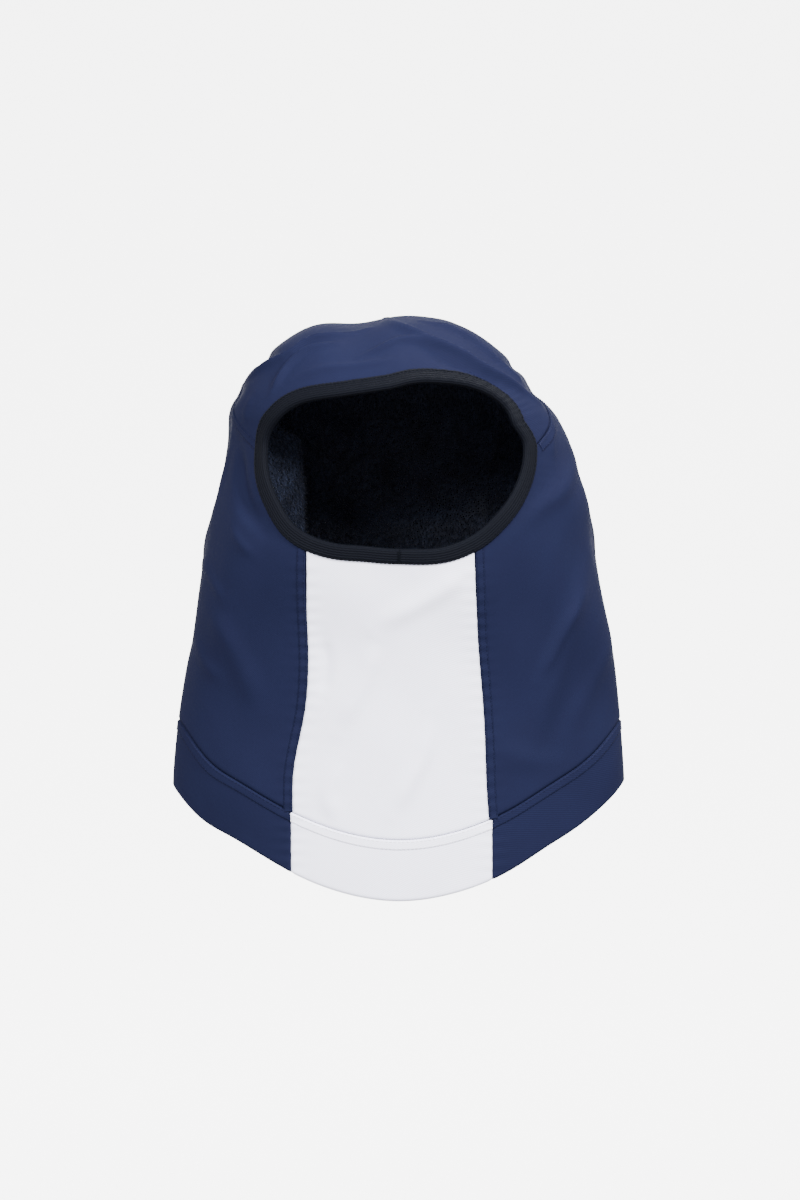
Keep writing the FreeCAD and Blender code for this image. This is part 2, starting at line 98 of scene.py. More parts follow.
OPENING_HALF_WIDTH = 87.0
OPENING_UP = 42.5
OPENING_DOWN = 67.0
OPENING_LEVEL = 2.0
OPENING_SHAPE = 2.3
CLOTH_EDGE = 3.0                # the cloth stops this far outside the folded edge of the binding
BINDING_WIDTH = 10.0
BINDING_THICK = 1.1
STITCH_FROM_EDGE = 1.6          # from the binding's edge to its stitching
SHELL = 1.4                     # softshell cloth
LAYER_GAP = 0.3
PRESSED = 1.2                   # lining under the binding
BACKING = 1.6                   # knitted ground of the plush away from the binding
TAPE = 6.0                      # felled strip beside a seam
SEAM_START_TURN = 93.0
TURN_FOR_MM = 0.6               # turn round the opening that a millimetre takes at the temples
PIVOT = -20.0                   # height of the axis that the crown fans round
NAPE_HALF = 62.0
BACK_HEM_HALF = 56.0
PANEL_GAP = 0.15                # each shell panel stops this short of its seam
LINING_OVERLAP = -0.4           # and each lining goes this far past it
SEAM_TOP = -62.0                # heights of the upper ends of the front seams, and of the ends of three panels
SEAM_FOOT = -262.0
FRONT_FOOT = -245.0
BACK_SEAM_FOOT = -250.0
BACK_FOOT = -200.0
SLACK = 0.28                    # how loose the cloth hangs

# how far the opening's edge is out of its even outline, measured and rounded, by turn round it: 0 at the top and
# 90 at the wearer's left
EDGE_WOBBLE = [(-180, -2.2), (-168, -2.6), (-152, 0.5), (-134, 2.2), (-118, 0.2), (-92, -0.4), (-71, -5), (-40, -6),
               (-14, -7.4), (0, -5), (10, 0), (22, 2.3), (42, 3.8), (56, 1.3), (68, -4.8), (90, -5.3), (116, -7),
               (133, -6), (150, -2.6), (165, -1), (180, -2.2)]
# x of the two front seams at a few heights
RIGHT_SEAM = [(-60, -60), (-105, -62.5), (-165, -62), (-210, -69), (-245, -69.5), (-300, -73.5)]
LEFT_SEAM = [(-60, 48.5), (-120, 51), (-170, 55), (-225, 57.5), (-300, 64)]


def smooth(low, high, value):
    """0 below low, 1 above high and an even ease between."""
    part = np.clip((value - low) / (high - low), 0.0, 1.0)
    return part * part * (3.0 - 2.0 * part)


def through(points, value):
    """A smooth curve through a few points, as y for each value of x."""
    xs, ys = (np.array(column, float) for column in zip(*sorted(points)))
    slopes = np.gradient(ys, xs)
    value = np.clip(value, xs[0], xs[-1])
    at = np.clip(np.searchsorted(xs, value) - 1, 0, len(xs) - 2)
    width = xs[at + 1] - xs[at]
    t = (value - xs[at]) / width
    start = ys[at] * (1 + 2 * t) * (1 - t) ** 2 + ys[at + 1] * t * t * (3 - 2 * t)
    return start + width * (slopes[at] * t * (1 - t) ** 2 - slopes[at + 1] * t * t * (1 - t))


def dome(z, power):
    """The share of width or depth that is left as the crown closes over."""
    part = np.clip((z - DOME_START) / (CROWN_TOP - DOME_START), 0.0, 1.0)
    return np.maximum(1.0 - part ** 1.5, 1e-9) ** power


def half_width(z):
    """From the middle to the side at a height."""
    upper = (DOME_HALF_WIDTH - 0.258 * (z - DOME_START)) * dome(z, 0.316)
    rise = np.clip((z - SIDE_HEM) / (DOME_START - SIDE_HEM), 0.0, 1.0)
    lower = HEM_HALF_WIDTH - (HEM_HALF_WIDTH - DOME_HALF_WIDTH) * rise ** 1.5
    return np.where(z > DOME_START, upper, lower)


def half_depth(z):
    """From the middle to the front or the back at a height."""
    swell = np.exp(-(np.minimum(z + 5.0, 0.0) / 85.0) ** 2)
    return (BIB_HALF_DEPTH + (HEAD_HALF_DEPTH - BIB_HALF_DEPTH) * swell) * dome(z, 0.36)


def middle(z):
    """How far the section sits ahead at the chin, as y."""
    return -CHIN_FORWARD * np.exp(-((z - CHIN_HEIGHT) / 45.0) ** 2)


def fullness(z):
    """How square the garment is in plan: 2 is an ellipse."""
    return 2.1 - 0.35 * smooth(60.0, 220.0, -z)


def over(places):
    """How far places are outside the surface, as a ratio: 0 on it."""
    x, y, z = places[..., 0], places[..., 1], places[..., 2]
    inside = np.minimum(z, CROWN_TOP - 0.001)
    power = fullness(inside)
    ratio = np.abs(x / half_width(inside)) ** power + np.abs((y - middle(inside)) / half_depth(inside)) ** power
    return ratio - 1.0 + np.maximum(z - CROWN_TOP, 0.0)


def outward(places):
    """The direction straight out of the surface."""
    step = 0.05
    slopes = np.stack([over(places + step * axis) - over(places - step * axis) for axis in np.eye(3)], axis=-1)
    return slopes / np.maximum(np.linalg.norm(slopes, axis=-1, keepdims=True), 1e-12)


def ring_places(angle, z):
    """Places at angles in degrees round the garment, 0 ahead and 90 at the wearer's left, and heights."""
    angle, z = np.broadcast_arrays(angle, z)
    turn = np.radians(angle)
    power = 2.0 / fullness(z)
    across = np.sign(np.sin(turn)) * np.abs(np.sin(turn)) ** power
    along = np.sign(np.cos(turn)) * np.abs(np.cos(turn)) ** power
    return np.stack([half_width(z) * across, middle(z) - half_depth(z) * along, z], axis=-1)


def angle_at(x, z):
    """The angle of the front place at x and a height."""
    ratio = np.minimum(np.abs(x) / half_width(z), 1.0)
    return np.sign(x) * np.degrees(np.arcsin(ratio ** (fullness(z) / 2.0)))


def fan_places(x, fan):
    """Places at x on half planes that turn about the pivot axis, 0 level ahead and 90 straight up."""
    turn = np.radians(fan)
    near = np.zeros_like(turn)
    far = np.full_like(turn, 200.0)

    def at(reach):
        return np.stack([x, -reach * np.cos(turn), PIVOT + reach * np.sin(turn)], axis=-1)

    for _ in range(HALVINGS):
        reach = (near + far) / 2.0
        out = over(at(reach)) > 0.0
        far = np.where(out, reach, far)
        near = np.where(out, near, reach)
    return at(near)


def settled(places):
    """The places on the surface nearest to points close to it."""
    for _ in range(5):
        normal = outward(places)
        slope = (over(places + 0.05 * normal) - over(places)) / 0.05
        places = places - normal * (over(places) / slope)[..., None]
    return places


def opening_outline(turn, grow):
    """x and height of the opening's edge at each turn round it, grown outwards."""
    power = 2.0 / OPENING_SHAPE
    sine, cosine = np.sin(np.radians(turn)), np.cos(np.radians(turn))
    turn = (np.asarray(turn, float) + 180.0) % 360.0 - 180.0
    grow = grow + through(EDGE_WOBBLE, turn)
    reach = np.where(cosine > 0.0, OPENING_UP, OPENING_DOWN)
    x = (OPENING_HALF_WIDTH + grow) * np.sign(sine) * np.abs(sine) ** power
    z = (reach + grow) * np.sign(cosine) * np.abs(cosine) ** power
    return x, OPENING_LEVEL + z


def opening_places(turn, grow):
    """The places of that outline on the surface."""
    x, z = opening_outline(turn, grow)
    return ring_places(angle_at(x, z), z)


def hem_height(angle):
    """Height of the hem's fold, lowest ahead and behind and highest at the sides."""
    drop = np.where(np.cos(np.radians(angle)) > 0.0, SIDE_HEM - FRONT_HEM, SIDE_HEM - BACK_HEM)
    return SIDE_HEM - drop * (1.0 - np.abs(np.sin(np.radians(angle))) ** HEM_CURVE)


def seam_x(side, z):
    return through(LEFT_SEAM if side > 0 else RIGHT_SEAM, z)


def back_half(z):
    return NAPE_HALF + (BACK_HEM_HALF - NAPE_HALF) * smooth(-PIVOT, 230.0, -z)


def back_angle(side, z, out=0.0):
    """The angle of a back seam at a height."""
    return side * (180.0 - angle_at(back_half(z) + out, z))


def last_where(holds, low, high):
    """The last value from low to high for which a test that holds at low still does."""
    for _ in range(HALVINGS):
        value = (low + high) / 2.0
        if holds(value):
            low = value
        else:
            high = value
    return low


def hem_meet(line):
    """Height at which a seam line, an angle for each height, meets the hem seam."""
    return last_where(lambda z: z < hem_height(line(z)) + BAND_HEIGHT, -285.0, -150.0)


def crown_seam(part):
    """Fan angle and half width along the crown seam, from the opening to the nape."""
    start = opening_places(np.array(SEAM_START_TURN), CLOTH_EDGE)
    start_fan = math.degrees(math.atan2(start[2] - PIVOT, -start[1]))
    fan = start_fan + (180.0 - start_fan) * part
    points = [(start_fan, start[0]), (30.0, 95.5), (62.0, 102.0), (90.0, 97.0), (135.0, 80.0), (180.0, NAPE_HALF)]
    return fan, through(points, fan)


def crown_seam_places(side, part):
    """Places along the crown seam of one side."""
    fan, x = crown_seam(part)
    return fan_places(side * x, fan)


# ---- how the cloth lies: folds, puckers and slack ----

# a fold: places as x and height seen from the front, then how far it stands out, its half width and where
FRONT_FOLDS = [
    ([(-92, 45), (-78, 54), (-62, 62), (-50, 71), (-35, 77), (-12, 83)], 4.4, 3.1),
    ([(-75, 36), (-69, 46), (-61, 57), (-48, 67), (-30, 73)], 3.4, 2.9),
    ([(2, 86), (14, 79), (32, 70), (50, 62), (66, 52), (84, 41), (97, 31)], 4.6, 3.4),
    ([(-16, 64), (0, 70), (14, 73), (32, 68), (52, 60)], 3.0, 2.8),
    ([(24, 84.5), (40, 79), (57, 71), (71, 60), (86, 47)], 3.4, 2.9),
    ([(-60, 45), (-40, 53), (-15, 57), (8, 60)], 2.2, 3.6),
    ([(30, 60), (50, 54), (68, 45), (80, 34)], -2.4, 4.0),
    ([(-86, 36), (-93, 26), (-97, 16)], 1.0, 4.0),
    ([(116, 4), (111, -14), (101, -28), (88, -38), (74, -52)], 2.2, 7.0),
    ([(104, 22), (100, 8), (99, -8)], 1.4, 4.5),
    ([(124, -70), (114, -105), (100, -150), (84, -200)], 3.0, 10.0),
    ([(118, -95), (104, -120), (90, -150)], 2.2, 4.5),
    ([(140, -120), (128, -150), (108, -185)], 1.4, 8.0),
    ([(-104, 4), (-104, -16), (-99, -34), (-88, -52)], -4.5, 6.5),
    ([(-103, 24), (-112, -4), (-120, -36)], 1.4, 6.0),
    ([(-108, -50), (-102, -60), (-94, -68)], 1.2, 4.0),
    ([(-132, -70), (-124, -84), (-116, -98)], 1.3, 4.5),
    ([(-138, -122), (-130, -138), (-118, -150)], 1.2, 5.0),
    ([(-128, -104), (-110, -130), (-92, -170)], 2.2, 9.0),
    ([(-14, -122), (-24, -150), (-40, -182)], 2.6, 7.0),
    ([(44, -78), (20, -94), (-18, -114)], 2.4, 7.0),
    ([(20, -168), (16, -196), (6, -216), (-4, -236)], 2.4, 6.0),
    ([(-36, -200), (-46, -222), (-40, -240)], 1.6, 6.0),
    ([(-52, -120), (-50, -140), (-52, -160)], -2.0, 5.0),
    ([(60, -190), (80, -200), (110, -205)], 1.0, 8.0),
]
# the same on the sides and back: angle round the garment and height
ROUND_FOLDS = [
    ([(240, 58), (270, 60), (300, 63)], -3.0, 5.5),
    ([(244, 39), (270, 38), (296, 36)], -2.0, 7.0),
    ([(60, 58), (90, 55), (116, 54)], -2.0, 5.0),
    ([(64, 38), (90, 38), (112, 38)], -2.6, 7.0),
    ([(150, 40), (172, 22), (196, 24), (214, 42)], 1.8, 9.0),
    ([(146, -35), (166, -52), (194, -54), (216, -36)], -2.2, 9.0),
    ([(142, -62), (166, -74), (190, -76), (220, -64)], 2.2, 8.0),
    ([(128, -70), (140, -96), (160, -112)], 1.8, 7.0),
    ([(232, -72), (222, -98), (204, -118)], 1.8, 7.0),
    ([(112, 10), (122, -20), (136, -46)], 1.6, 8.0),
    ([(246, 14), (238, -22), (226, -46)], 1.6, 8.0),
    ([(84, -40), (100, -66), (124, -84)], 1.6, 8.0),
    ([(276, -44), (262, -68), (238, -86)], 1.6, 8.0),
    ([(92, -120), (110, -150), (130, -190)], 1.6, 15.0),
    ([(268, -120), (252, -154), (232, -190)], 1.6, 15.0),
    ([(176, -130), (170, -170), (182, -214)], 1.4, 12.0),
    ([(98, 40), (118, 52), (140, 48)], 1.4, 7.0),
    ([(262, 40), (242, 52), (220, 48)], 1.4, 7.0),
]


def fold_lines():
    """Each fold as points along it on the surface, its height and its half width."""
    lines = []
    part = np.linspace(0.0, 1.0, 15)
    for kind, folds in (("front", FRONT_FOLDS), ("round", ROUND_FOLDS)):
        for points, height, reach in folds:
            at = np.linspace(0.0, 1.0, len(points))
            first = through(list(zip(at, [point[0] for point in points])), part)
            z = np.minimum(through(list(zip(at, [point[1] for point in points])), part), CROWN_TOP - 0.6)
            angle = angle_at(first, z) if kind == "front" else first
            lines.append((ring_places(angle, z), height, reach))
    return lines


FOLD_LINES = fold_lines()


def fold_height(places):
    """How far the folds lift the cloth at each place."""
    lift = np.zeros(places.shape[:-1])
    for line, height, reach in FOLD_LINES:
        near = np.linalg.norm(places - line.mean(axis=0), axis=-1) < 3.0 * reach + np.ptp(line, axis=0).max()
        spots = places[near]
        if not len(spots):
            continue
        best = np.full(len(spots), 1e9)
        where = np.zeros(len(spots))
        for step, (start, end) in enumerate(zip(line[:-1], line[1:])):
            along = end - start
            t = np.clip(((spots - start) @ along) / (along @ along), 0.0, 1.0)
            gap = np.linalg.norm(spots - start - t[:, None] * along, axis=-1)
            closer = gap < best
            best = np.where(closer, gap, best)
            where = np.where(closer, (step + t) / (len(line) - 1), where)
        taper = smooth(0.0, 0.3, where) * smooth(0.0, 0.3, 1.0 - where)
        lift[near] += height * (0.25 + 0.75 * taper) * np.exp(-(best / reach) ** 2)
    return lift


WAVES = np.random.default_rng(7)
WAVE_TURNS = WAVES.normal(size=(10, 3))
WAVE_TURNS /= np.linalg.norm(WAVE_TURNS, axis=1, keepdims=True)
WAVE_LENGTHS = WAVES.uniform(34.0, 85.0, 10)
WAVE_STARTS = WAVES.uniform(0.0, 6.28, 10)


def slack(places):
    """Soft uneven waves of cloth that hangs a little loose."""
    total = np.zeros(places.shape[:-1])
    for turn, length, start in zip(WAVE_TURNS, WAVE_LENGTHS, WAVE_STARTS):
        total += np.sin(places @ turn * (2.0 * math.pi / length) + start) * length / 60.0
    return SLACK * total


def opening_gap(places):
    """Roughly how far front places are outside the opening's even outline, and their turn round it."""
    x, y, z = places[..., 0], places[..., 1], places[..., 2] - OPENING_LEVEL
    reach = np.where(z > 0.0, OPENING_UP, OPENING_DOWN)
    ratio = np.abs(x / OPENING_HALF_WIDTH) ** OPENING_SHAPE + np.abs(z / reach) ** OPENING_SHAPE
    ratio = ratio ** (1 / OPENING_SHAPE)
    gap = np.where(y < 0.0, (1.0 - 1.0 / np.maximum(ratio, 0.5)) * np.hypot(x, z), 999.0)
    return gap, np.degrees(np.arctan2(x / OPENING_HALF_WIDTH, z / reach))


def puckers(places):
    """Short ripples that the elastic and the seams draw into the cloth."""
    gap, turn = opening_gap(places)
    strength = 0.08 + 0.3 * smooth(5.0, 25.0, turn) * smooth(-82.0, -60.0, -turn)
    wobble = np.sin(turn * 0.23) + 0.6 * np.sin(turn * 0.61 + 1.0)
    ripple = np.sin(turn * 1.35 / 6.2 * 2.0 * math.pi + 1.6 * wobble)
    lift = strength * ripple * np.exp(-(np.maximum(gap - 8.0, 0.0) / 7.0) ** 2) * smooth(60.0, 30.0, gap)
    x, z = places[..., 0], places[..., 2]
    for side in (-1, 1):
        away = np.abs(x - seam_x(side, z))
        drawn = np.exp(-(away / 9.0) ** 2) * (places[..., 1] < 0.0) * smooth(-60.0, -75.0, z)
        lift += 0.22 * drawn * np.sin(z / 8.5 * 2.0 * math.pi + 2.0 * np.sin(z * 0.05) + side)
    return lift


def worn(places, lift=0.0):
    """Where places on the even surface lie on the worn garment, raised by lift along the normal."""
    rise = fold_height(places) + slack(places) + puckers(places)
    gap, _ = opening_gap(places)
    rise = rise * (0.35 + 0.65 * smooth(2.0, 22.0, gap))
    moved = places + outward(places) * (rise + lift)[..., None]
    z = places[..., 2]
    x = places[..., 0]
    moved[..., 0] += CROWN_LEAN * smooth(0.0, 45.0, z)
    moved[..., 0] += RIGHT_JAW_IN * smooth(0.0, 60.0, -x) * np.exp(-((z + 125.0) / 40.0) ** 2)
    moved[..., 0] += LEFT_CHEEK_OUT * smooth(85.0, 112.0, x) * np.exp(-((z + 32.0) / 20.0) ** 2)
    moved[..., 2] -= CROWN_DIP * np.exp(-((x + 20.0) / 24.0) ** 2) * smooth(45.0, 80.0, z)
    for at, drop, reach in HEM_DROPS:
        moved[..., 2] -= drop * np.exp(-((x - at) / reach) ** 2) * smooth(175.0, 215.0, -z)
    return moved


# ---- panels as grids of places ----

def blend(low_u, high_u, low_v, high_v, u, v):
    """The patch inside four border rows, each an array of points; u runs along the v borders."""
    u, v = u[None, :, None], v[:, None, None]
    across = (1 - u) * low_u[:, None] + u * high_u[:, None]
    along = (1 - v) * low_v[None] + v * high_v[None]
    corners = (1 - u) * (1 - v) * low_v[0] + u * (1 - v) * low_v[-1]
    corners = corners + (1 - u) * v * high_v[0] + u * v * high_v[-1]
    return across + along - corners


def crown_grid(cols, top_rows, back_rows, trim=PANEL_GAP):
    """The crown panel, from the opening over the head and down the back."""
    u = np.linspace(0.0, 1.0, cols)
    v = np.linspace(0.0, 1.0, top_rows)
    rim = opening_places((2 * u - 1) * (SEAM_START_TURN - TURN_FOR_MM * trim), CLOTH_EDGE)
    low_v = np.stack([rim[:, 0], np.degrees(np.arctan2(rim[:, 2] - PIVOT, -rim[:, 1]))], axis=-1)
    fan, x = crown_seam(v)
    borders = []
    for side, end in ((-1, 0), (1, -1)):
        start = low_v[end]
        line = np.stack([side * (x - trim), start[1] + (fan - fan[0]) * (180.0 - start[1]) / (180.0 - fan[0])], -1)
        line[:, 0] += (start[0] - line[0, 0]) * (1 - v) ** 8
        borders.append(line)
    high_v = np.stack([(2 * u - 1) * (NAPE_HALF - trim), np.full(cols, 180.0)], -1)
    flat = blend(borders[0], borders[1], low_v, high_v, u, v)
    top = fan_places(flat[..., 0], flat[..., 1])
    side = 2 * u - 1
    down = np.linspace(0.0, 1.0, back_rows)[1:, None]
    foot = hem_height(180.0 - angle_at(BACK_HEM_HALF * side, BACK_FOOT)) + BAND_HEIGHT + trim
    z = PIVOT + (foot[None] - PIVOT) * down
    x = (back_half(z) - trim) * side[None]
    back = ring_places(180.0 - angle_at(x, z), z)
    return np.concatenate([top, back])


def turn_where(x, grow):
    """The turn on the lower half of the opening where its outline reaches x."""
    side = 1.0 if x > 0 else -1.0
    return side * last_where(lambda turn: opening_outline(side * turn, grow)[0] * side > x * side, 90.0, 180.0)


def side_grid(side, cols, rows, trim=PANEL_GAP):
    """A side panel, from the front seam and the opening round to the back seam."""
    v = np.linspace(0.0, 1.0, rows)
    u = np.linspace(0.0, 1.0, cols)

    def front_line(z):
        return abs(float(angle_at(seam_x(side, z) + side * trim, z)))

    join = turn_where(seam_x(side, SEAM_TOP) + side * trim, CLOTH_EDGE)
    join_z = float(opening_outline(join, CLOTH_EDGE)[1])
    foot = hem_meet(front_line) + trim
    share = 0.58        # of the rows, for the part of the border that is on the front seam
    seam_z = foot + (join_z - foot) * np.clip(v / share, 0.0, 1.0)
    seam_angle = np.abs(angle_at(seam_x(side, seam_z) + side * trim, seam_z))
    turns = join + (side * (SEAM_START_TURN + TURN_FOR_MM * trim) - join) * np.clip((v - share) / (1 - share), 0.0, 1.0)
    x, z = opening_outline(turns, CLOTH_EDGE)
    on_seam = v < share
    front = np.stack([np.where(on_seam, seam_angle, np.abs(angle_at(x, z))), np.where(on_seam, seam_z, z)], -1)
    back_foot = hem_meet(lambda z: back_angle(1.0, z, trim)) + trim
    back_z = back_foot + (PIVOT - back_foot) * v
    back = np.stack([back_angle(1.0, back_z, trim), back_z], -1)
    seam = crown_seam_places(1.0, u)
    ahead = np.gradient(seam, axis=0)
    out = np.cross(ahead, outward(seam))
    seam = settled(seam + trim * out / np.linalg.norm(out, axis=-1, keepdims=True))
    angle = angle_at(seam[:, 0], seam[:, 2])
    angle = np.where(seam[:, 1] > middle(seam[:, 2]), 180.0 - angle, angle)
    top = np.stack([angle, seam[:, 2]], -1)
    keep = (np.minimum(np.minimum(u, 1 - u), 0.05) / 0.05)[:, None]
    top = top * keep + np.where(u[:, None] < 0.5, front[-1], back[-1]) * (1 - keep)
    low_angle = front[0, 0] + (back[0, 0] - front[0, 0]) * u
    low = np.stack([low_angle, hem_height(low_angle) + BAND_HEIGHT + trim], -1)
    flat = blend(front, back, low, top, u, v)
    return ring_places(side * flat[..., 0], flat[..., 1])


def front_grid(cols, rows, trim=PANEL_GAP):
    """The front panel, from the opening down to the hem seam."""
    u = np.linspace(0.0, 1.0, cols)
    v = np.linspace(0.0, 1.0, rows)[:, None]
    turns = [turn_where(seam_x(side, SEAM_TOP) - side * trim, CLOTH_EDGE) for side in (-1, 1)]
    turn = -180.0 + (turns[0] + 180.0) * (1 - 2 * u)
    turn = np.where(u > 0.5, 180.0 - (180.0 - turns[1]) * (2 * u - 1), turn)
    top_x, top_z = opening_outline(turn, CLOTH_EDGE)
    low_x = seam_x(-1, FRONT_FOOT) + (seam_x(1, FRONT_FOOT) - seam_x(-1, FRONT_FOOT)) * u
    foot = hem_height(angle_at(low_x, FRONT_FOOT)) + BAND_HEIGHT + trim
    z = top_z[None] + (foot - top_z)[None] * v
    left, right = seam_x(-1, z) + trim, seam_x(1, z) - trim
    across = left + (right - left) * u[None]
    lower = smooth(0.0, 0.3, v)
    x = top_x[None] * (1 - lower) + across * lower
    return ring_places(angle_at(x, z), z)


def from_borders(grid):
    """Distance in millimetres of each grid point from the first and last column and the first and last row."""
    cols = np.cumsum(np.linalg.norm(np.diff(grid, axis=1, prepend=grid[:, :1]), axis=-1), axis=1)
    rows = np.cumsum(np.linalg.norm(np.diff(grid, axis=0, prepend=grid[:1]), axis=-1), axis=0)
    return {"first_col": cols, "last_col": cols[:, -1:] - cols, "first_row": rows, "last_row": rows[-1:] - rows}


def seam_dip(grid, seams):
    """How far the cloth sinks into the seams along the named borders."""
    depth, reach = 0.55, 0.9
    gaps = from_borders(grid)
    dip = np.zeros(grid.shape[:2])
    for name in seams:
        dip = np.maximum(dip, np.exp(-(gaps[name] / reach) ** 2))
    return -depth * dip


# ---- meshes ----

def link(piece):
    """Puts a new object in the scene."""
    bpy.context.scene.collection.objects.link(piece)
    return piece


def grid_faces(rows, cols, start, flip):
    """Quads over a grid of points that are numbered from start."""
    index = np.arange(rows * cols).reshape(rows, cols) + start
    quads = np.stack([index[:-1, :-1], index[:-1, 1:], index[1:, 1:], index[1:, :-1]], -1).reshape(-1, 4)
    return quads[:, ::-1] if flip else quads


def rim_faces(rows, cols):
    """Quads that close the edge between two grids of the same size, outer first."""
    index = np.arange(rows * cols).reshape(rows, cols)
    quads = []
    for loop in (index[0], index[-1][::-1], index[::-1, 0], index[:, -1]):
        below = loop + rows * cols
        quads.append(np.stack([loop[:-1], below[:-1], below[1:], loop[1:]], -1))
    return np.concatenate(quads)


def sheet_mesh(name, outer, inner):
    """A closed sheet of cloth between two grids of points in millimetres, with UVs in metres along it."""
    rows, cols = outer.shape[:2]
    verts = np.concatenate([outer.reshape(-1, 3), inner.reshape(-1, 3)]) * MM
    across = outer[1:, :-1] - outer[:-1, :-1]
    along = outer[:-1, 1:] - outer[:-1, :-1]
    facing = np.einsum("ijk,ijk->", np.cross(along, across), (outer - inner)[:-1, :-1]) > 0.0
    faces = np.concatenate([grid_faces(rows, cols, 0, not facing), grid_faces(rows, cols, rows * cols, facing)])
    rim = rim_faces(rows, cols)
    faces = np.concatenate([faces, rim if facing else rim[:, ::-1]])
    mesh = bpy.data.meshes.new(name)
    mesh.from_pydata(verts.tolist(), [], faces.tolist())
    gaps = from_borders(outer)
    centre = gaps["first_col"] - gaps["first_col"][:, -1:] / 2.0
    flat = np.stack([centre, gaps["first_row"]], -1).reshape(-1, 2) * MM
    layer = mesh.uv_layers.new(name="cloth")
    loops = np.empty(len(mesh.loops), int)
    mesh.loops.foreach_get("vertex_index", loops)
    layer.data.foreach_set("uv", flat[loops % (rows * cols)].ravel())
    mesh.polygons.foreach_set("use_smooth", [True] * len(mesh.polygons))
    mesh.validate()
    return mesh


def sewn(name, mesh):
    """The mesh as a piece on the garment's one body."""
    piece = link(bpy.data.objects.new(name, mesh))
    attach(piece, "root")
    return piece


def cloth_piece(name, outer, inner, slot, node):
    """A sheet of cloth that stands for a node of the frame, and hides that node."""
    mesh = sheet_mesh(name, outer, inner)
    mesh.materials.append(finish(slot))
    piece = sewn(name, mesh)
    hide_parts(node)


# ---- node trees ----

def add(tree, kind, sets=(), **links):
    """A node with its settings and links. A link is a value or another node's output, for the input of that name,
    or for the input of that number when it is i and a number."""
    node = tree.nodes.new(kind)
    for key, value in dict(sets).items():
        setattr(node, key, value)
    for key, value in links.items():
        socket = node.inputs[int(key[1:]) if key[1:].isdigit() else key.replace("_", " ")]
        if isinstance(value, bpy.types.NodeSocket):
            tree.links.new(value, socket)
        else:
            socket.default_value = value
    return node


def linear(code):
    """An sRGB hex colour as linear RGBA."""
    parts = [int(code.lstrip("#")[at:at + 2], 16) / 255.0 for at in (0, 2, 4)]
    return [part / 12.92 if part <= 0.04045 else ((part + 0.055) / 1.055) ** 2.4 for part in parts] + [1.0]


def start_tree(name, base, sizes):
    """A geometry tree that takes a base mesh, sizes in metres, a seed and a material, and its inputs."""
    tree = bpy.data.node_groups.new(name, "GeometryNodeTree")
    kinds = [(base, "Geometry")] + [(size, "Float") for size in sizes] + [("Seed", "Int"), ("Material", "Material")]
    for label, kind in kinds:
        socket = tree.interface.new_socket(label, in_out="INPUT", socket_type="NodeSocket" + kind)
        if label in sizes:
            socket.default_value = sizes[label]
    tree.interface.new_socket("Piece", in_out="OUTPUT", socket_type="NodeSocketGeometry")
    return tree, tree.nodes.new("NodeGroupInput").outputs


def end_tree(tree, placed, material):
    """Makes the placed copies real, in their material, as the tree's result."""
    real = add(tree, "GeometryNodeRealizeInstances", Geometry=placed.outputs[0])
    done = add(tree, "GeometryNodeSetMaterial", Geometry=real.outputs[0], Material=material)
    tree.links.new(done.outputs[0], tree.nodes.new("NodeGroupOutput").inputs[0])
    return tree


def stitch_tree():
    """Copies of a small rounded bar set along a line of edges."""
    tree, given = start_tree("stitches_along_a_seam", "Line",
                             {"Pitch": 0.003, "Along": 0.002, "Across": 0.0005, "Height": 0.0005})
    line = add(tree, "GeometryNodeMeshToCurve", Mesh=given["Line"])
    even = add(tree, "GeometryNodeResampleCurve", {"mode": "LENGTH"}, Curve=line.outputs[0], Length=given["Pitch"])
    ball = add(tree, "GeometryNodeMeshUVSphere", Segments=8, Rings=5, Radius=0.5)
    size = add(tree, "ShaderNodeCombineXYZ", X=given["Along"], Y=given["Across"], Z=given["Height"])
    bar = add(tree, "GeometryNodeTransform", Geometry=ball.outputs[0], Scale=size.outputs[0])
    along = add(tree, "FunctionNodeAlignRotationToVector", {"axis": "X"},
                Vector=tree.nodes.new("GeometryNodeInputTangent").outputs[0])
    lift = add(tree, "GeometryNodeInputNamedAttribute", {"data_type": "FLOAT_VECTOR"}, Name="lift")
    turned = add(tree, "FunctionNodeAlignRotationToVector", {"axis": "Z", "pivot_axis": "X"},
                 Rotation=along.outputs[0], Vector=lift.outputs[0])
    uneven = add(tree, "FunctionNodeRandomValue", {"data_type": "FLOAT"}, i2=0.9, i3=1.08, Seed=given["Seed"])
    placed = add(tree, "GeometryNodeInstanceOnPoints", Points=even.outputs[0], Instance=bar.outputs[0],
                 Rotation=turned.outputs[0], Scale=uneven.outputs[1])
    return end_tree(tree, placed, given["Material"])


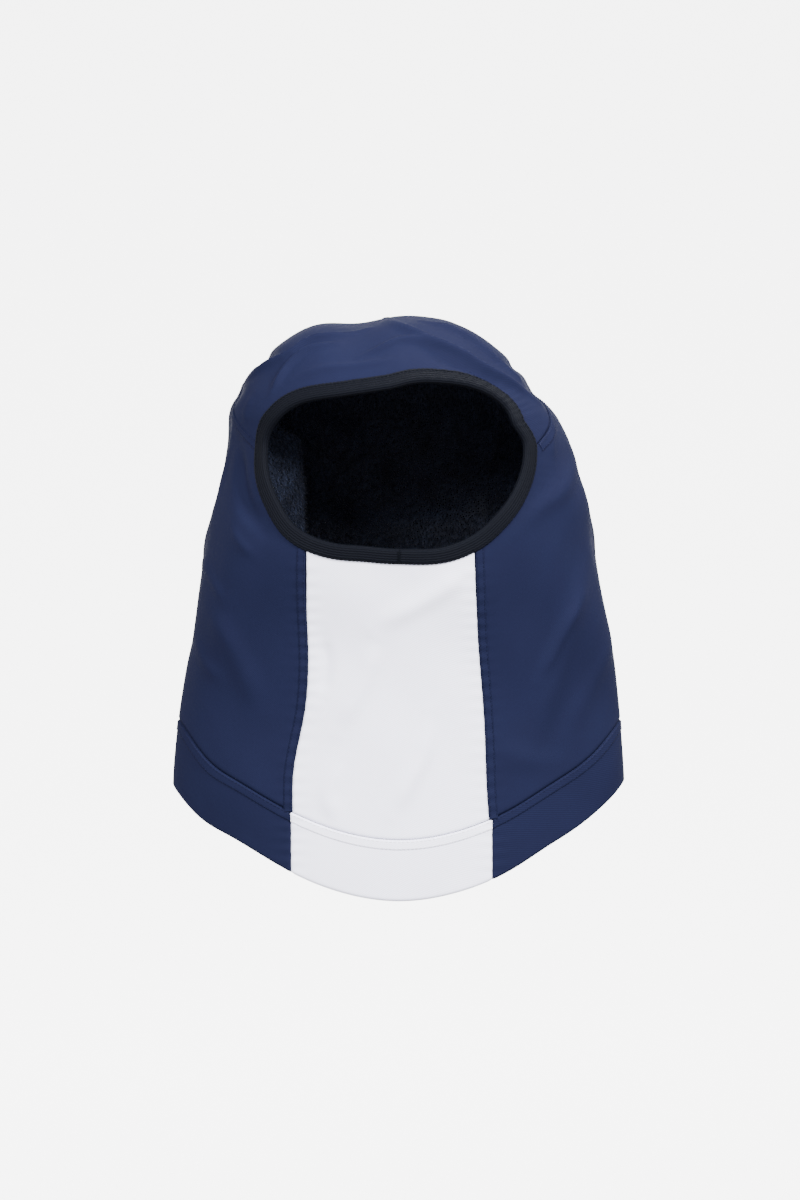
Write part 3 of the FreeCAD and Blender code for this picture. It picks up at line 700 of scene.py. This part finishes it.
def pile_tree():
    """Short tapered fibres standing on the faces of a ground cloth, with a fixed seed."""
    tree, given = start_tree("plush_pile", "Ground", {"Density": 1e6, "Length": 0.004, "Radius": 0.0003, "Lean": 0.5})
    points = add(tree, "GeometryNodeDistributePointsOnFaces", Mesh=given["Ground"], Density=given["Density"],
                 Seed=given["Seed"])
    fibre = add(tree, "GeometryNodeMeshCone", Vertices=3, Radius_Bottom=given["Radius"], Radius_Top=0.0,
                Depth=given["Length"])
    least = add(tree, "ShaderNodeMath", {"operation": "MULTIPLY"}, i0=given["Lean"], i1=0.4)
    low = add(tree, "ShaderNodeCombineXYZ", X=least.outputs[0], Y=-0.35, Z=-0.7)
    high = add(tree, "ShaderNodeCombineXYZ", X=given["Lean"], Y=0.35, Z=0.7)
    tilt = add(tree, "FunctionNodeRandomValue", {"data_type": "FLOAT_VECTOR"}, i0=low.outputs[0],
               i1=high.outputs[0], Seed=given["Seed"])
    lean = add(tree, "FunctionNodeEulerToRotation", Euler=tilt.outputs[0])
    turned = add(tree, "FunctionNodeRotateRotation", {"rotation_space": "LOCAL"}, Rotation=points.outputs["Rotation"],
                 Rotate_By=lean.outputs[0])
    uneven = add(tree, "FunctionNodeRandomValue", {"data_type": "FLOAT"}, i2=0.6, i3=1.15, Seed=given["Seed"])
    placed = add(tree, "GeometryNodeInstanceOnPoints", Points=points.outputs[0], Instance=fibre.outputs[0],
                 Rotation=turned.outputs[0], Scale=uneven.outputs[1])
    return end_tree(tree, placed, given["Material"])


def grown(name, mesh, tree, inputs):
    """Runs a node tree on a mesh and keeps the result as a plain piece."""
    carrier = link(bpy.data.objects.new(name + "_carrier", mesh))
    modifier = carrier.modifiers.new("grow", "NODES")
    modifier.node_group = tree
    for item in tree.interface.items_tree:
        if item.item_type == "SOCKET" and item.in_out == "INPUT" and item.name in inputs:
            modifier[item.identifier] = inputs[item.name]
    carrier.update_tag()
    evaluated = carrier.evaluated_get(bpy.context.evaluated_depsgraph_get())
    result = bpy.data.meshes.new_from_object(evaluated)
    bpy.data.objects.remove(carrier)
    if not len(result.polygons):
        raise RuntimeError(name + " grew nothing")
    result.name = name
    result.polygons.foreach_set("use_smooth", [True] * len(result.polygons))
    return sewn(name, result)


def line_mesh(name, places, lift):
    """A line of edges raised off the worn cloth, with the way up kept on each point."""
    normal = outward(places)
    points = worn(places, lift) * MM
    mesh = bpy.data.meshes.new(name)
    mesh.from_pydata(points.tolist(), [[at, at + 1] for at in range(len(points) - 1)], [])
    mesh.attributes.new("lift", "FLOAT_VECTOR", "POINT").data.foreach_set("vector", normal.ravel())
    return mesh


# ---- materials ----

def shader(name):
    """A new material, its node tree and its surface node."""
    material = bpy.data.materials.new(name)
    material.use_nodes = True
    return material, material.node_tree, material.node_tree.nodes["Principled BSDF"]


def tinted(tree, surface, share, base, light, rough, gleam):
    """Colours the surface from base to light by share, with its roughness and gleam."""
    colour = add(tree, "ShaderNodeMix", {"data_type": "RGBA"}, i0=share, i6=base, i7=light)
    tree.links.new(colour.outputs[2], surface.inputs["Base Color"])
    surface.inputs["Roughness"].default_value = rough
    surface.inputs["Specular IOR Level"].default_value = gleam


def dimmed(code, part):
    """The colour with its light cut to a part."""
    return [value * part for value in linear(code)[:3]] + [1.0]


def softshell(name, base, light):
    """Softshell: a fine stretch twill of matt yarn bonded to fleece, which looks smooth, soft and slightly milky
    at grazing angles. Its 0.4 mm twill is drawn at 1.1 mm, which is as fine as the render shows."""
    material, tree, surface = shader(name)
    uv = add(tree, "ShaderNodeUVMap", {"uv_map": "cloth"}).outputs[0]
    rib = add(tree, "ShaderNodeMapping", Vector=uv, Rotation=(0.0, 0.0, math.radians(63.0)))
    twill = add(tree, "ShaderNodeTexWave", {"bands_direction": "X"}, Vector=rib.outputs[0],
                Scale=0.314 / 0.0011, Distortion=1.2, Detail=2.0, Detail_Scale=3.0)
    yarn = add(tree, "ShaderNodeTexNoise", Vector=uv, Scale=900.0, Detail=3.0, Roughness=0.65)
    cloud = add(tree, "ShaderNodeTexNoise", Vector=uv, Scale=24.0, Detail=4.0, Roughness=0.55)
    speck = add(tree, "ShaderNodeMix", {"data_type": "FLOAT"}, i0=0.5, i2=yarn.outputs[0], i3=twill.outputs[1])
    tone = add(tree, "ShaderNodeMath", {"operation": "MULTIPLY_ADD"}, i0=cloud.outputs[0], i1=0.5,
               i2=speck.outputs[0])
    even = add(tree, "ShaderNodeMapRange", Value=tone.outputs[0], i1=0.45, i2=1.1, i3=0.0, i4=1.0)
    tinted(tree, surface, even.outputs[0], linear(base), linear(light), 0.7, 0.02)
    bump = add(tree, "ShaderNodeBump", Strength=0.35, Distance=0.0003, Height=speck.outputs[0])
    tree.links.new(bump.outputs[0], surface.inputs["Normal"])
    rough = add(tree, "ShaderNodeMapRange", Value=speck.outputs[0], i1=0.0, i2=1.0, i3=0.62, i4=0.78)
    tree.links.new(rough.outputs[0], surface.inputs["Roughness"])
    return material


def elastic(name, base, light):
    """Fold-over elastic: knitted nylon over rubber cords, with fine cross ribs and a dull gleam.
    Its 0.8 mm ribs are drawn at 1.6 mm."""
    material, tree, surface = shader(name)
    uv = add(tree, "ShaderNodeUVMap", {"uv_map": "cloth"}).outputs[0]
    ribs = add(tree, "ShaderNodeTexWave", {"bands_direction": "Y"}, Vector=uv, Scale=0.314 / 0.0016, Distortion=0.5,
               Detail=1.0, Detail_Scale=2.0)
    fuzz = add(tree, "ShaderNodeTexNoise", Vector=uv, Scale=1400.0, Detail=3.0, Roughness=0.7)
    both = add(tree, "ShaderNodeMix", {"data_type": "FLOAT"}, i0=0.4, i2=ribs.outputs[1], i3=fuzz.outputs[0])
    tinted(tree, surface, both.outputs[0], linear(base), linear(light), 0.7, 0.05)
    bump = add(tree, "ShaderNodeBump", Strength=0.8, Distance=0.0005, Height=both.outputs[0])
    tree.links.new(bump.outputs[0], surface.inputs["Normal"])
    return material


def plush(name, base, light):
    """Plush: dense polyester pile brushed up from a knitted ground, nearly black in its depth with paler tips
    where it lies over."""
    material, tree, surface = shader(name)
    place = add(tree, "ShaderNodeTexCoord").outputs["Object"]
    patch = add(tree, "ShaderNodeTexNoise", Vector=place, Scale=70.0, Detail=4.0, Roughness=0.6)
    fibre = add(tree, "ShaderNodeTexNoise", Vector=place, Scale=1100.0, Detail=2.0)
    both = add(tree, "ShaderNodeMath", {"operation": "MULTIPLY"}, i0=patch.outputs[0], i1=fibre.outputs[0])
    even = add(tree, "ShaderNodeMapRange", Value=both.outputs[0], i1=0.15, i2=0.42, i3=0.0, i4=1.0)
    tinted(tree, surface, even.outputs[0], linear(base), linear(light), 0.6, 0.1)
    surface.inputs["Sheen Weight"].default_value = 0.02
    return material


def thread(name, base):
    """Spun polyester thread: twisted fine yarn, dull with a faint gleam along each stitch."""
    material, tree, surface = shader(name)
    place = add(tree, "ShaderNodeTexCoord").outputs["Object"]
    twist = add(tree, "ShaderNodeTexNoise", Vector=place, Scale=2500.0, Detail=2.0)
    tinted(tree, surface, twist.outputs[0], dimmed(base, 0.8), linear(base), 0.6, 0.04)
    return material


def studio_paper(name, base):
    """A backlit paper sweep: matt, pale, glowing evenly and without grain at this distance."""
    material, tree, surface = shader(name)
    place = add(tree, "ShaderNodeTexCoord").outputs["Object"]
    cloud = add(tree, "ShaderNodeTexNoise", Vector=place, Scale=0.7, Detail=1.0)
    tinted(tree, surface, cloud.outputs[0], dimmed(base, 0.995), linear(base), 1.0, 0.0)
    surface.inputs["Emission Color"].default_value = linear(base)
    surface.inputs["Emission Strength"].default_value = 4.2
    return material


# ---- settings ----

class ClothSettings(bpy.types.PropertyGroup):
    """Colours and sizes of the cloth that a user would change."""
    navy: StringProperty(name="Main cloth", description="Main softshell as an sRGB hex colour", default="#101224")
    navy_light: StringProperty(name="Main cloth, light yarn", description="Its lighter yarn", default="#14172C")
    white: StringProperty(name="Throat panel", description="Contrast softshell", default="#DEDEF2")
    white_light: StringProperty(name="Throat panel, light yarn", description="Its lighter yarn", default="#EBEBF9")
    elastic: StringProperty(name="Elastic", description="Fold-over elastic", default="#020306")
    elastic_light: StringProperty(name="Elastic ribs", description="Its raised ribs", default="#080A12")
    plush: StringProperty(name="Plush", description="Depth of the pile", default="#10131F")
    plush_light: StringProperty(name="Plush tips", description="Tips of the pile", default="#202637")
    grid: FloatProperty(name="Mesh spacing", description="Distance between cloth mesh points", default=0.0015,
                        min=0.0008, max=0.01, unit="LENGTH")


class StitchSettings(bpy.types.PropertyGroup):
    """Sizes of the stitching and the pile."""
    pitch: FloatProperty(name="Stitch pitch", description="From one stitch to the next", default=0.0028,
                         unit="LENGTH")
    length: FloatProperty(name="Stitch length", description="Length of the thread that shows", default=0.0022,
                          unit="LENGTH")
    thread: FloatProperty(name="Thread", description="Thickness of the thread", default=0.00042, unit="LENGTH")
    pile: FloatProperty(name="Pile length", description="Length of the plush fibres", default=0.0042,
                        unit="LENGTH")


class StageSettings(bpy.types.PropertyGroup):
    """The studio round the garment."""
    paper: StringProperty(name="Paper", description="Backdrop paper as an sRGB hex colour", default="#F2F2F2")
    distance: FloatProperty(name="Camera distance", description="From the camera to the garment", default=3.2,
                            unit="LENGTH")
    elevation: FloatProperty(name="Camera elevation", description="Above the horizon", default=math.radians(2.5),
                             subtype="ANGLE")
    azimuth: FloatProperty(name="Camera azimuth", description="Round the garment", default=0.0,
                           subtype="ANGLE")


SHELL_NODES = {
    "crown": "crown_panel", "left": "side_panel_left", "right": "side_panel_right", "front": "front_panel",
}
MATERIALS = {}


def finish(name):
    """The named material, made when first asked for."""
    cloth = bpy.context.scene.balaclava_cloth
    stage = bpy.context.scene.balaclava_stage
    makers = {
        "navy_softshell": lambda: softshell("navy_softshell_twill", cloth.navy, cloth.navy_light),
        "white_softshell": lambda: softshell("white_softshell_twill", cloth.white, cloth.white_light),
        "elastic_binding": lambda: elastic("fold_over_elastic", cloth.elastic, cloth.elastic_light),
        "plush_lining": lambda: plush("brushed_plush", cloth.plush, cloth.plush_light),
        "navy_thread": lambda: thread("navy_spun_thread", "#0F1125"),
        "white_thread": lambda: thread("white_spun_thread", "#E2E0E8"),
        "sewing_thread": lambda: thread("black_spun_thread", "#06080E"),
        "woven_label": lambda: thread("woven_satin_label", "#C9C9C4"),
        "paper": lambda: studio_paper("studio_paper", stage.paper),
    }
    if name not in MATERIALS:
        MATERIALS[name] = makers[name]()
    return MATERIALS[name]


def shell_grids():
    """The grid of each shell panel, with more points at a smaller mesh spacing than 1.5 mm."""
    fine = 1.5 / (bpy.context.scene.balaclava_cloth.grid / MM)
    return {
        "crown": crown_grid(int(150 * fine), int(150 * fine), int(70 * fine)),
        "left": side_grid(1, int(140 * fine), int(170 * fine)),
        "right": side_grid(-1, int(140 * fine), int(170 * fine)),
        "front": front_grid(int(90 * fine), int(130 * fine)),
    }


SEAMS = {
    "crown": ("first_col", "last_col", "last_row"),
    "left": ("first_col", "last_col", "first_row", "last_row"),
    "right": ("first_col", "last_col", "first_row", "last_row"),
    "front": ("first_col", "last_col", "last_row"),
}


class SewShell(bpy.types.Operator):
    """Makes the outer softshell panels."""
    bl_idname = "balaclava.sew_shell"
    bl_label = "Sew shell"

    def execute(self, context):
        for name, grid in shell_grids().items():
            slot = "white_softshell" if name == "front" else "navy_softshell"
            dip = seam_dip(grid, SEAMS[name])
            outer = worn(grid, dip)
            inner = worn(grid, -SHELL)
            cloth_piece(SHELL_NODES[name] + "_cloth", outer, inner, slot, SHELL_NODES[name])
        return {"FINISHED"}


def lining_depths(grid):
    """Depth of the face of the plush ground: shallow under the binding, deeper a little way off."""
    gap, _ = opening_gap(grid)
    free = smooth(BINDING_WIDTH, BINDING_WIDTH + 12.0, gap)
    return SHELL + LAYER_GAP + PRESSED + (BACKING - PRESSED) * free


def cheek_fold(grid):
    """How far the lining of the cheeks bags inwards behind the opening: far at the right, where it hangs loose."""
    angle = np.degrees(np.arctan2(grid[..., 0], middle(grid[..., 2]) - grid[..., 1]))
    gap, _ = opening_gap(grid)
    right = angle < 0.0
    right_bag = 42.0 + 18.0 * smooth(-20.0, 60.0, -grid[..., 2])
    left_bag = 9.0
    depth = np.where(right, right_bag, left_bag)
    peak = np.where(right, 77.0, 84.0)
    around = np.exp(-((np.abs(angle) - peak) / 16.0) ** 2)
    high = smooth(-125.0, -75.0, grid[..., 2]) * smooth(-48.0, -15.0, -grid[..., 2])
    return depth * around * high * smooth(6.0, 20.0, gap)


class SewLining(bpy.types.Operator):
    """Makes the plush lining: a ground cloth for each panel and the pile that stands on it."""
    bl_idname = "balaclava.sew_lining"
    bl_label = "Sew lining"

    def execute(self, context):
        stitch = context.scene.balaclava_stitches
        tree = pile_tree()
        grids = {
            "crown": crown_grid(80, 90, 40, LINING_OVERLAP),
            "left": side_grid(1, 80, 90, LINING_OVERLAP),
            "right": side_grid(-1, 80, 90, LINING_OVERLAP),
            "front": front_grid(50, 70, LINING_OVERLAP),
        }
        density = {"crown": 0.69, "left": 0.95, "right": 0.85, "front": 1.2}
        for number, (name, grid) in enumerate(grids.items()):
            bag = cheek_fold(grid)
            outer = worn(grid, -SHELL - LAYER_GAP - bag)
            inner = worn(grid, -lining_depths(grid) - bag)
            cloth_piece("lining_" + name + "_ground", outer, inner, "plush_lining", "lining_" + name)
            gap, _ = opening_gap(grid)
            bare = gap < BINDING_WIDTH + 1.5
            rows, cols = grid.shape[:2]
            quads = grid_faces(rows, cols, 0, False)
            quads = quads[~bare.ravel()[quads].any(axis=1)]
            ground = bpy.data.meshes.new("pile_ground")
            ground.from_pydata((inner.reshape(-1, 3) * MM).tolist(), [], quads.tolist())
            towards = np.einsum("ij,ij->i", polygon_normals(ground), (inner - outer).reshape(-1, 3)[quads[:, 0]])
            if towards.sum() < 0.0:
                ground.flip_normals()
            grown("lining_" + name + "_pile", ground, tree, {
                "Density": density[name] * 1e6, "Length": stitch.pile, "Radius": 0.00028, "Lean": 1.1,
                "Seed": number + 3, "Material": finish("plush_lining")})
        return {"FINISHED"}


def polygon_normals(mesh):
    """The direction each face of a mesh looks."""
    normals = np.empty(len(mesh.polygons) * 3)
    mesh.polygons.foreach_get("normal", normals)
    return normals.reshape(-1, 3)


def folded(legs, toward, centre_depth, reach):
    """Rows across a sheet folded round an edge. legs is places by row then station, ending at the fold."""
    normal = outward(legs[-1])
    centre = worn(legs[-1], -centre_depth)
    rows = [worn(row, reach - centre_depth) for row in legs]
    for turn in np.radians(np.arange(15.0, 180.0, 15.0)):
        rows.append(centre + toward * reach * np.sin(turn) + normal * reach * np.cos(turn))
    rows += [worn(row, -reach - centre_depth) for row in legs[::-1]]
    return np.stack(rows)


def unit(vectors):
    """The vectors at length 1."""
    return vectors / np.linalg.norm(vectors, axis=-1, keepdims=True)


def front_corners():
    """The angles at which the right and left front seams cross the hem seam."""
    return [float(angle_at(seam_x(side, SEAM_FOOT), SEAM_FOOT)) for side in (-1, 1)]


class SewHem(bpy.types.Operator):
    """Makes the four folded hem bands and the felled strips under their seam."""
    bl_idname = "balaclava.sew_hem"
    bl_label = "Sew hem"

    def execute(self, context):
        right, left = front_corners()
        back = float(back_angle(1.0, BACK_SEAM_FOOT))
        spans = {"front": (right, left, 110), "left": (left, back, 260), "right": (-back, right, 260),
                 "back": (back, 360.0 - back, 110)}
        outer_reach = SHELL + BAND_SPACE / 2.0
        strip_top = BAND_HEIGHT - 0.7
        gap = 0.06              # degrees from the end of a band to its seam
        for name, (start, end, count) in spans.items():
            slot = "white_softshell" if name == "front" else "navy_softshell"
            angle = np.linspace(start + gap, end - gap, count)
            fold = hem_height(angle)
            drop = np.linspace(BAND_HEIGHT - PANEL_GAP, outer_reach, 26)[:, None]
            legs = ring_places(angle, fold + drop)
            toward = unit(worn(ring_places(angle, fold)) - worn(legs[-1]))
            outer = folded(legs, toward, outer_reach, outer_reach)
            inner = folded(legs, toward, outer_reach, BAND_SPACE / 2.0)
            from_seam = from_borders(outer)
            ends = np.minimum(from_seam["first_col"], from_seam["last_col"])
            dip = 0.5 * np.maximum(np.exp(-(ends / 1.2) ** 2), np.exp(-(from_seam["first_row"] / 1.2) ** 2))
            outer = outer + unit(inner - outer) * dip[..., None]
            cloth_piece("hem_band_" + name + "_cloth", outer, inner, slot, "hem_band_" + name)
            drop = np.linspace(strip_top, strip_top - TAPE, 9)[:, None]
            strip = ring_places(angle, fold + drop)
            felled_strip("hem_seam_tape_" + name, strip, slot)
        return {"FINISHED"}


def felled_strip(node, strip, slot):
    """A felled strip lying on the cloth, its long edges rounded down."""
    gaps = from_borders(strip)
    edge = np.minimum(gaps["first_row"], gaps["last_row"])
    if gaps["first_row"][-1].mean() > gaps["first_col"][:, -1].mean():
        edge = np.minimum(gaps["first_col"], gaps["last_col"])
    height = 0.08 + 0.32 * np.sqrt(np.clip(edge, 0.0, 1.0))
    cloth_piece(node + "_cloth", worn(strip, height), worn(strip, -0.25), slot, node)


def beside(line, distance):
    """The line moved sideways on the surface, to the right of its direction seen from outside."""
    ahead = np.gradient(line, axis=0)
    return settled(line + distance * unit(np.cross(ahead, outward(line))))


def crown_seam_line(side):
    """The crown seam of one side, from the binding over to the hem seam."""
    top = crown_seam_places(side, np.linspace(0.05, 1.0, 300))
    foot = hem_meet(lambda z: back_angle(1.0, z))
    z = np.linspace(PIVOT, foot + 0.5, 200)[1:]
    return np.concatenate([top, ring_places(back_angle(side, z), z)])


def front_seam_line(side):
    """The front seam of one side, from the binding down to the hem seam."""
    join = turn_where(seam_x(side, SEAM_TOP), BINDING_WIDTH)
    top = float(opening_outline(join, BINDING_WIDTH)[1])
    foot = hem_meet(lambda z: abs(float(angle_at(seam_x(side, z), z))))
    z = np.linspace(top + 2.0, foot + 0.5, 260)
    return ring_places(angle_at(seam_x(side, z), z), z)


class SewSeams(bpy.types.Operator):
    """Makes the felled strips beside the front and crown seams and all the stitching."""
    bl_idname = "balaclava.sew_seams"
    bl_label = "Sew seams"

    def execute(self, context):
        stitch = context.scene.balaclava_stitches
        tree = stitch_tree()

        def stitched(name, line, lift, cloth, seed):
            grown(name, line_mesh(name, line, lift), tree, {
                "Pitch": stitch.pitch, "Along": stitch.length, "Across": stitch.thread, "Height": stitch.thread,
                "Seed": seed, "Material": finish(cloth + "_thread")})

        across = np.linspace(0.25, TAPE, 9)
        lift = 0.44
        for side, hand in ((1, "left"), (-1, "right")):
            for seam, line, way, seed in (("crown", crown_seam_line(side), side, 11),
                                          ("front", front_seam_line(side), -side, 12)):
                strip = np.stack([beside(line, way * step) for step in across], axis=1)
                felled_strip(seam + "_seam_tape_" + hand, strip, "navy_softshell")
                for row, step in (("inner", 1.1), ("outer", TAPE - 0.9)):
                    stitched(seam + "_stitches_" + row + "_" + hand, beside(line, way * step), lift, "navy", seed)
        right, left = front_corners()
        for name, start, end, cloth in (("front", right, left, "white"), ("navy", left, 360.0 + right, "navy")):
            angle = np.linspace(start + 0.2, end - 0.2, 900)
            for row, step in (("upper", 1.5), ("lower", TAPE - 0.2)):
                z = hem_height(angle) + BAND_HEIGHT - step
                stitched("hem_stitches_" + row + "_" + name, ring_places(angle, z), 0.42, cloth, 13)
        return {"FINISHED"}


class BindOpening(bpy.types.Operator):
    """Makes the fold-over elastic round the face opening, its stitching and the tack over its join."""
    bl_idname = "balaclava.bind_opening"
    bl_label = "Bind opening"

    def execute(self, context):
        edge = opening_places(np.linspace(-180.0, 180.0, 721), 0.0)
        ahead = np.gradient(edge, axis=0)
        ahead[0] = ahead[-1] = unit(edge[1] - edge[-2])
        aside = unit(np.cross(ahead, outward(edge)))
        cloth = SHELL + LAYER_GAP + PRESSED
        inner_reach = cloth / 2.0 + 0.15
        outer_reach = inner_reach + BINDING_THICK
        arc = np.concatenate([[0.0], np.cumsum(np.linalg.norm(np.diff(edge, axis=0), axis=-1))])
        stitched_in = 0.18 * np.sin(arc / 2.6 * 2.0 * math.pi)
        uneven = 0.35 * np.sin(arc / 37.0) * np.sin(arc / 91.0 + 1.0)
        rows = 14
        steps = np.linspace(1.0, 0.0, rows)[:, None]
        reach = outer_reach + (BINDING_WIDTH + (stitched_in + uneven)[None] - outer_reach) * steps
        legs = settled(edge[None] - aside[None] * reach[..., None])
        toward = unit(worn(edge) - worn(legs[-1]))
        outer = folded(legs, toward, cloth / 2.0, outer_reach)
        inner = folded(legs, toward, cloth / 2.0, inner_reach)
        row = np.arange(len(outer))
        from_edge = np.minimum(row, row[::-1])[:, None] * (BINDING_WIDTH / rows)
        thin_edge = 0.45 * np.exp(-(from_edge / 0.8) ** 2)
        stitch_dent = 0.16 * np.exp(-((from_edge - STITCH_FROM_EDGE) / 0.5) ** 2)
        outer = outer + unit(inner - outer) * (thin_edge + stitch_dent)[..., None]
        cloth_piece("face_binding_elastic", outer, inner, "elastic_binding", "face_binding")
        thick = context.scene.balaclava_stitches.thread
        tree = stitch_tree()
        line = settled(edge - aside * (BINDING_WIDTH - STITCH_FROM_EDGE))
        grown("binding_stitches", line_mesh("binding_stitches", line, 0.3 + BINDING_THICK), tree, {
            "Pitch": 0.0026, "Along": 0.002, "Across": thick, "Height": thick, "Seed": 5,
            "Material": finish("sewing_thread")})
        line = settled(np.linspace(edge[0] + [0.0, 0.0, -1.5], edge[0] + [0.0, 0.0, -9.0], 20))
        tack = grown("binding_tack_thread", line_mesh("binding_tack_thread", line, 0.35 + BINDING_THICK), tree, {
            "Pitch": 0.0006, "Along": 0.0005, "Across": 0.0024, "Height": 0.0005, "Seed": 6,
            "Material": finish("sewing_thread")})
        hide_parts("binding_tack")
        return {"FINISHED"}


class SewLabel(bpy.types.Operator):
    """Makes the blank woven label inside the nape."""
    bl_idname = "balaclava.sew_label"
    bl_label = "Sew label"

    def execute(self, context):
        low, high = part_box("care_label")
        z = np.linspace(low.z, high.z, 20)[:, None] / MM
        x = np.linspace(low.x, high.x, 30)[None] / MM
        grid = ring_places(180.0 - angle_at(x, z), z)
        curl = np.sin((z - z[0]) / np.ptp(z) * math.pi)
        cloth_piece("care_label_cloth", worn(grid, -6.4 - curl), worn(grid, -6.8 - curl), "woven_label", "care_label")
        return {"FINISHED"}


# the studio, in metres and watts
SOFTBOXES = [("key_softbox", (1.6, -1.9, 1.6), 0.7, 275.0), ("fill_softbox", (-1.5, -2.2, 1.5), 1.5, 210.0),
             ("top_softbox", (0.7, 0.5, 1.7), 0.7, 60.0)]
CAMERA_AIM = (0.0005, 0.0, -0.0995)
FRAME_HEIGHT = 0.792            # what the frame takes in at the garment


def paper_sweep():
    """A sheet of paper that hangs behind the garment and bends forward below it."""
    half, low, high, back, radius = 1.8, -1.7, 2.2, 5.0, 0.6
    profile = [(back - 2.0, low), (back - radius, low)]
    for turn in np.radians(np.arange(15.0, 90.0, 15.0)):
        profile.append((back - radius + radius * math.sin(turn), low + radius - radius * math.cos(turn)))
    profile += [(back, low + radius), (back, high)]
    verts = [(x, y, z) for x in (-half, half) for y, z in profile]
    count = len(profile)
    faces = [(at, at + count, at + count + 1, at + 1) for at in range(count - 1)]
    mesh = bpy.data.meshes.new("studio_paper")
    mesh.from_pydata(verts, [], faces)
    mesh.polygons.foreach_set("use_smooth", [True] * len(faces))
    mesh.materials.append(finish("paper"))
    return mesh


class SetStage(bpy.types.Operator):
    """Sets the seamless paper, the lights and the camera."""
    bl_idname = "balaclava.set_stage"
    bl_label = "Set stage"

    def execute(self, context):
        settings = context.scene.balaclava_stage
        link(bpy.data.objects.new("studio_paper", paper_sweep()))
        world = bpy.data.worlds.new("studio_air")
        world.use_nodes = True
        world.node_tree.nodes["Background"].inputs["Color"].default_value = linear("#FFFFFF")
        world.node_tree.nodes["Background"].inputs["Strength"].default_value = 1.55
        context.scene.world = world
        for name, place, size, power in SOFTBOXES:
            lamp = bpy.data.lights.new(name, "AREA")
            lamp.shape = "SQUARE"
            lamp.size = size
            lamp.energy = power
            light = link(bpy.data.objects.new(name, lamp))
            light.location = place
            light.rotation_euler = look(np.array([0.0, 0.0, -0.1]) - np.array(place))
        lens = bpy.data.cameras.new("camera")
        lens.lens = lens.sensor_width * settings.distance / FRAME_HEIGHT
        lens.clip_end = 50.0
        camera = link(bpy.data.objects.new("camera", lens))
        turn, rise = settings.azimuth, settings.elevation
        away = np.array([math.sin(turn) * math.cos(rise), -math.cos(turn) * math.cos(rise), math.sin(rise)])
        camera.location = np.array(CAMERA_AIM) + away * settings.distance
        camera.rotation_euler = look(-away)
        context.scene.camera = camera
        return {"FINISHED"}


def look(direction):
    """The turn that points a lamp or camera along a direction, level."""
    x, y, z = direction / np.linalg.norm(direction)
    return (math.acos(-z), 0.0, -math.atan2(x, y))


OPERATORS = (SewShell, SewLining, SewHem, SewSeams, BindOpening, SewLabel, SetStage)


class BalaclavaPanel(bpy.types.Panel):
    """Lists the steps that make the garment."""
    bl_idname = "VIEW3D_PT_balaclava"
    bl_label = "Balaclava"
    bl_space_type = "VIEW_3D"
    bl_region_type = "UI"
    bl_category = "Balaclava"

    def draw(self, context):
        for settings in (context.scene.balaclava_cloth, context.scene.balaclava_stitches,
                         context.scene.balaclava_stage):
            for name in settings.__annotations__:
                self.layout.prop(settings, name)
        for operator in OPERATORS:
            self.layout.operator(operator.bl_idname)


CLASSES = (ClothSettings, StitchSettings, StageSettings, *OPERATORS, BalaclavaPanel)


def register():
    for kind in CLASSES:
        bpy.utils.register_class(kind)
    bpy.types.Scene.balaclava_cloth = PointerProperty(type=ClothSettings)
    bpy.types.Scene.balaclava_stitches = PointerProperty(type=StitchSettings)
    bpy.types.Scene.balaclava_stage = PointerProperty(type=StageSettings)


def unregister():
    for name in ("balaclava_cloth", "balaclava_stitches", "balaclava_stage"):
        delattr(bpy.types.Scene, name)
    for kind in reversed(CLASSES):
        bpy.utils.unregister_class(kind)


def main():
    register()
    for operator in OPERATORS:
        group, name = operator.bl_idname.split(".")
        getattr(getattr(bpy.ops, group), name)()


if __name__ == "__main__":
    main()
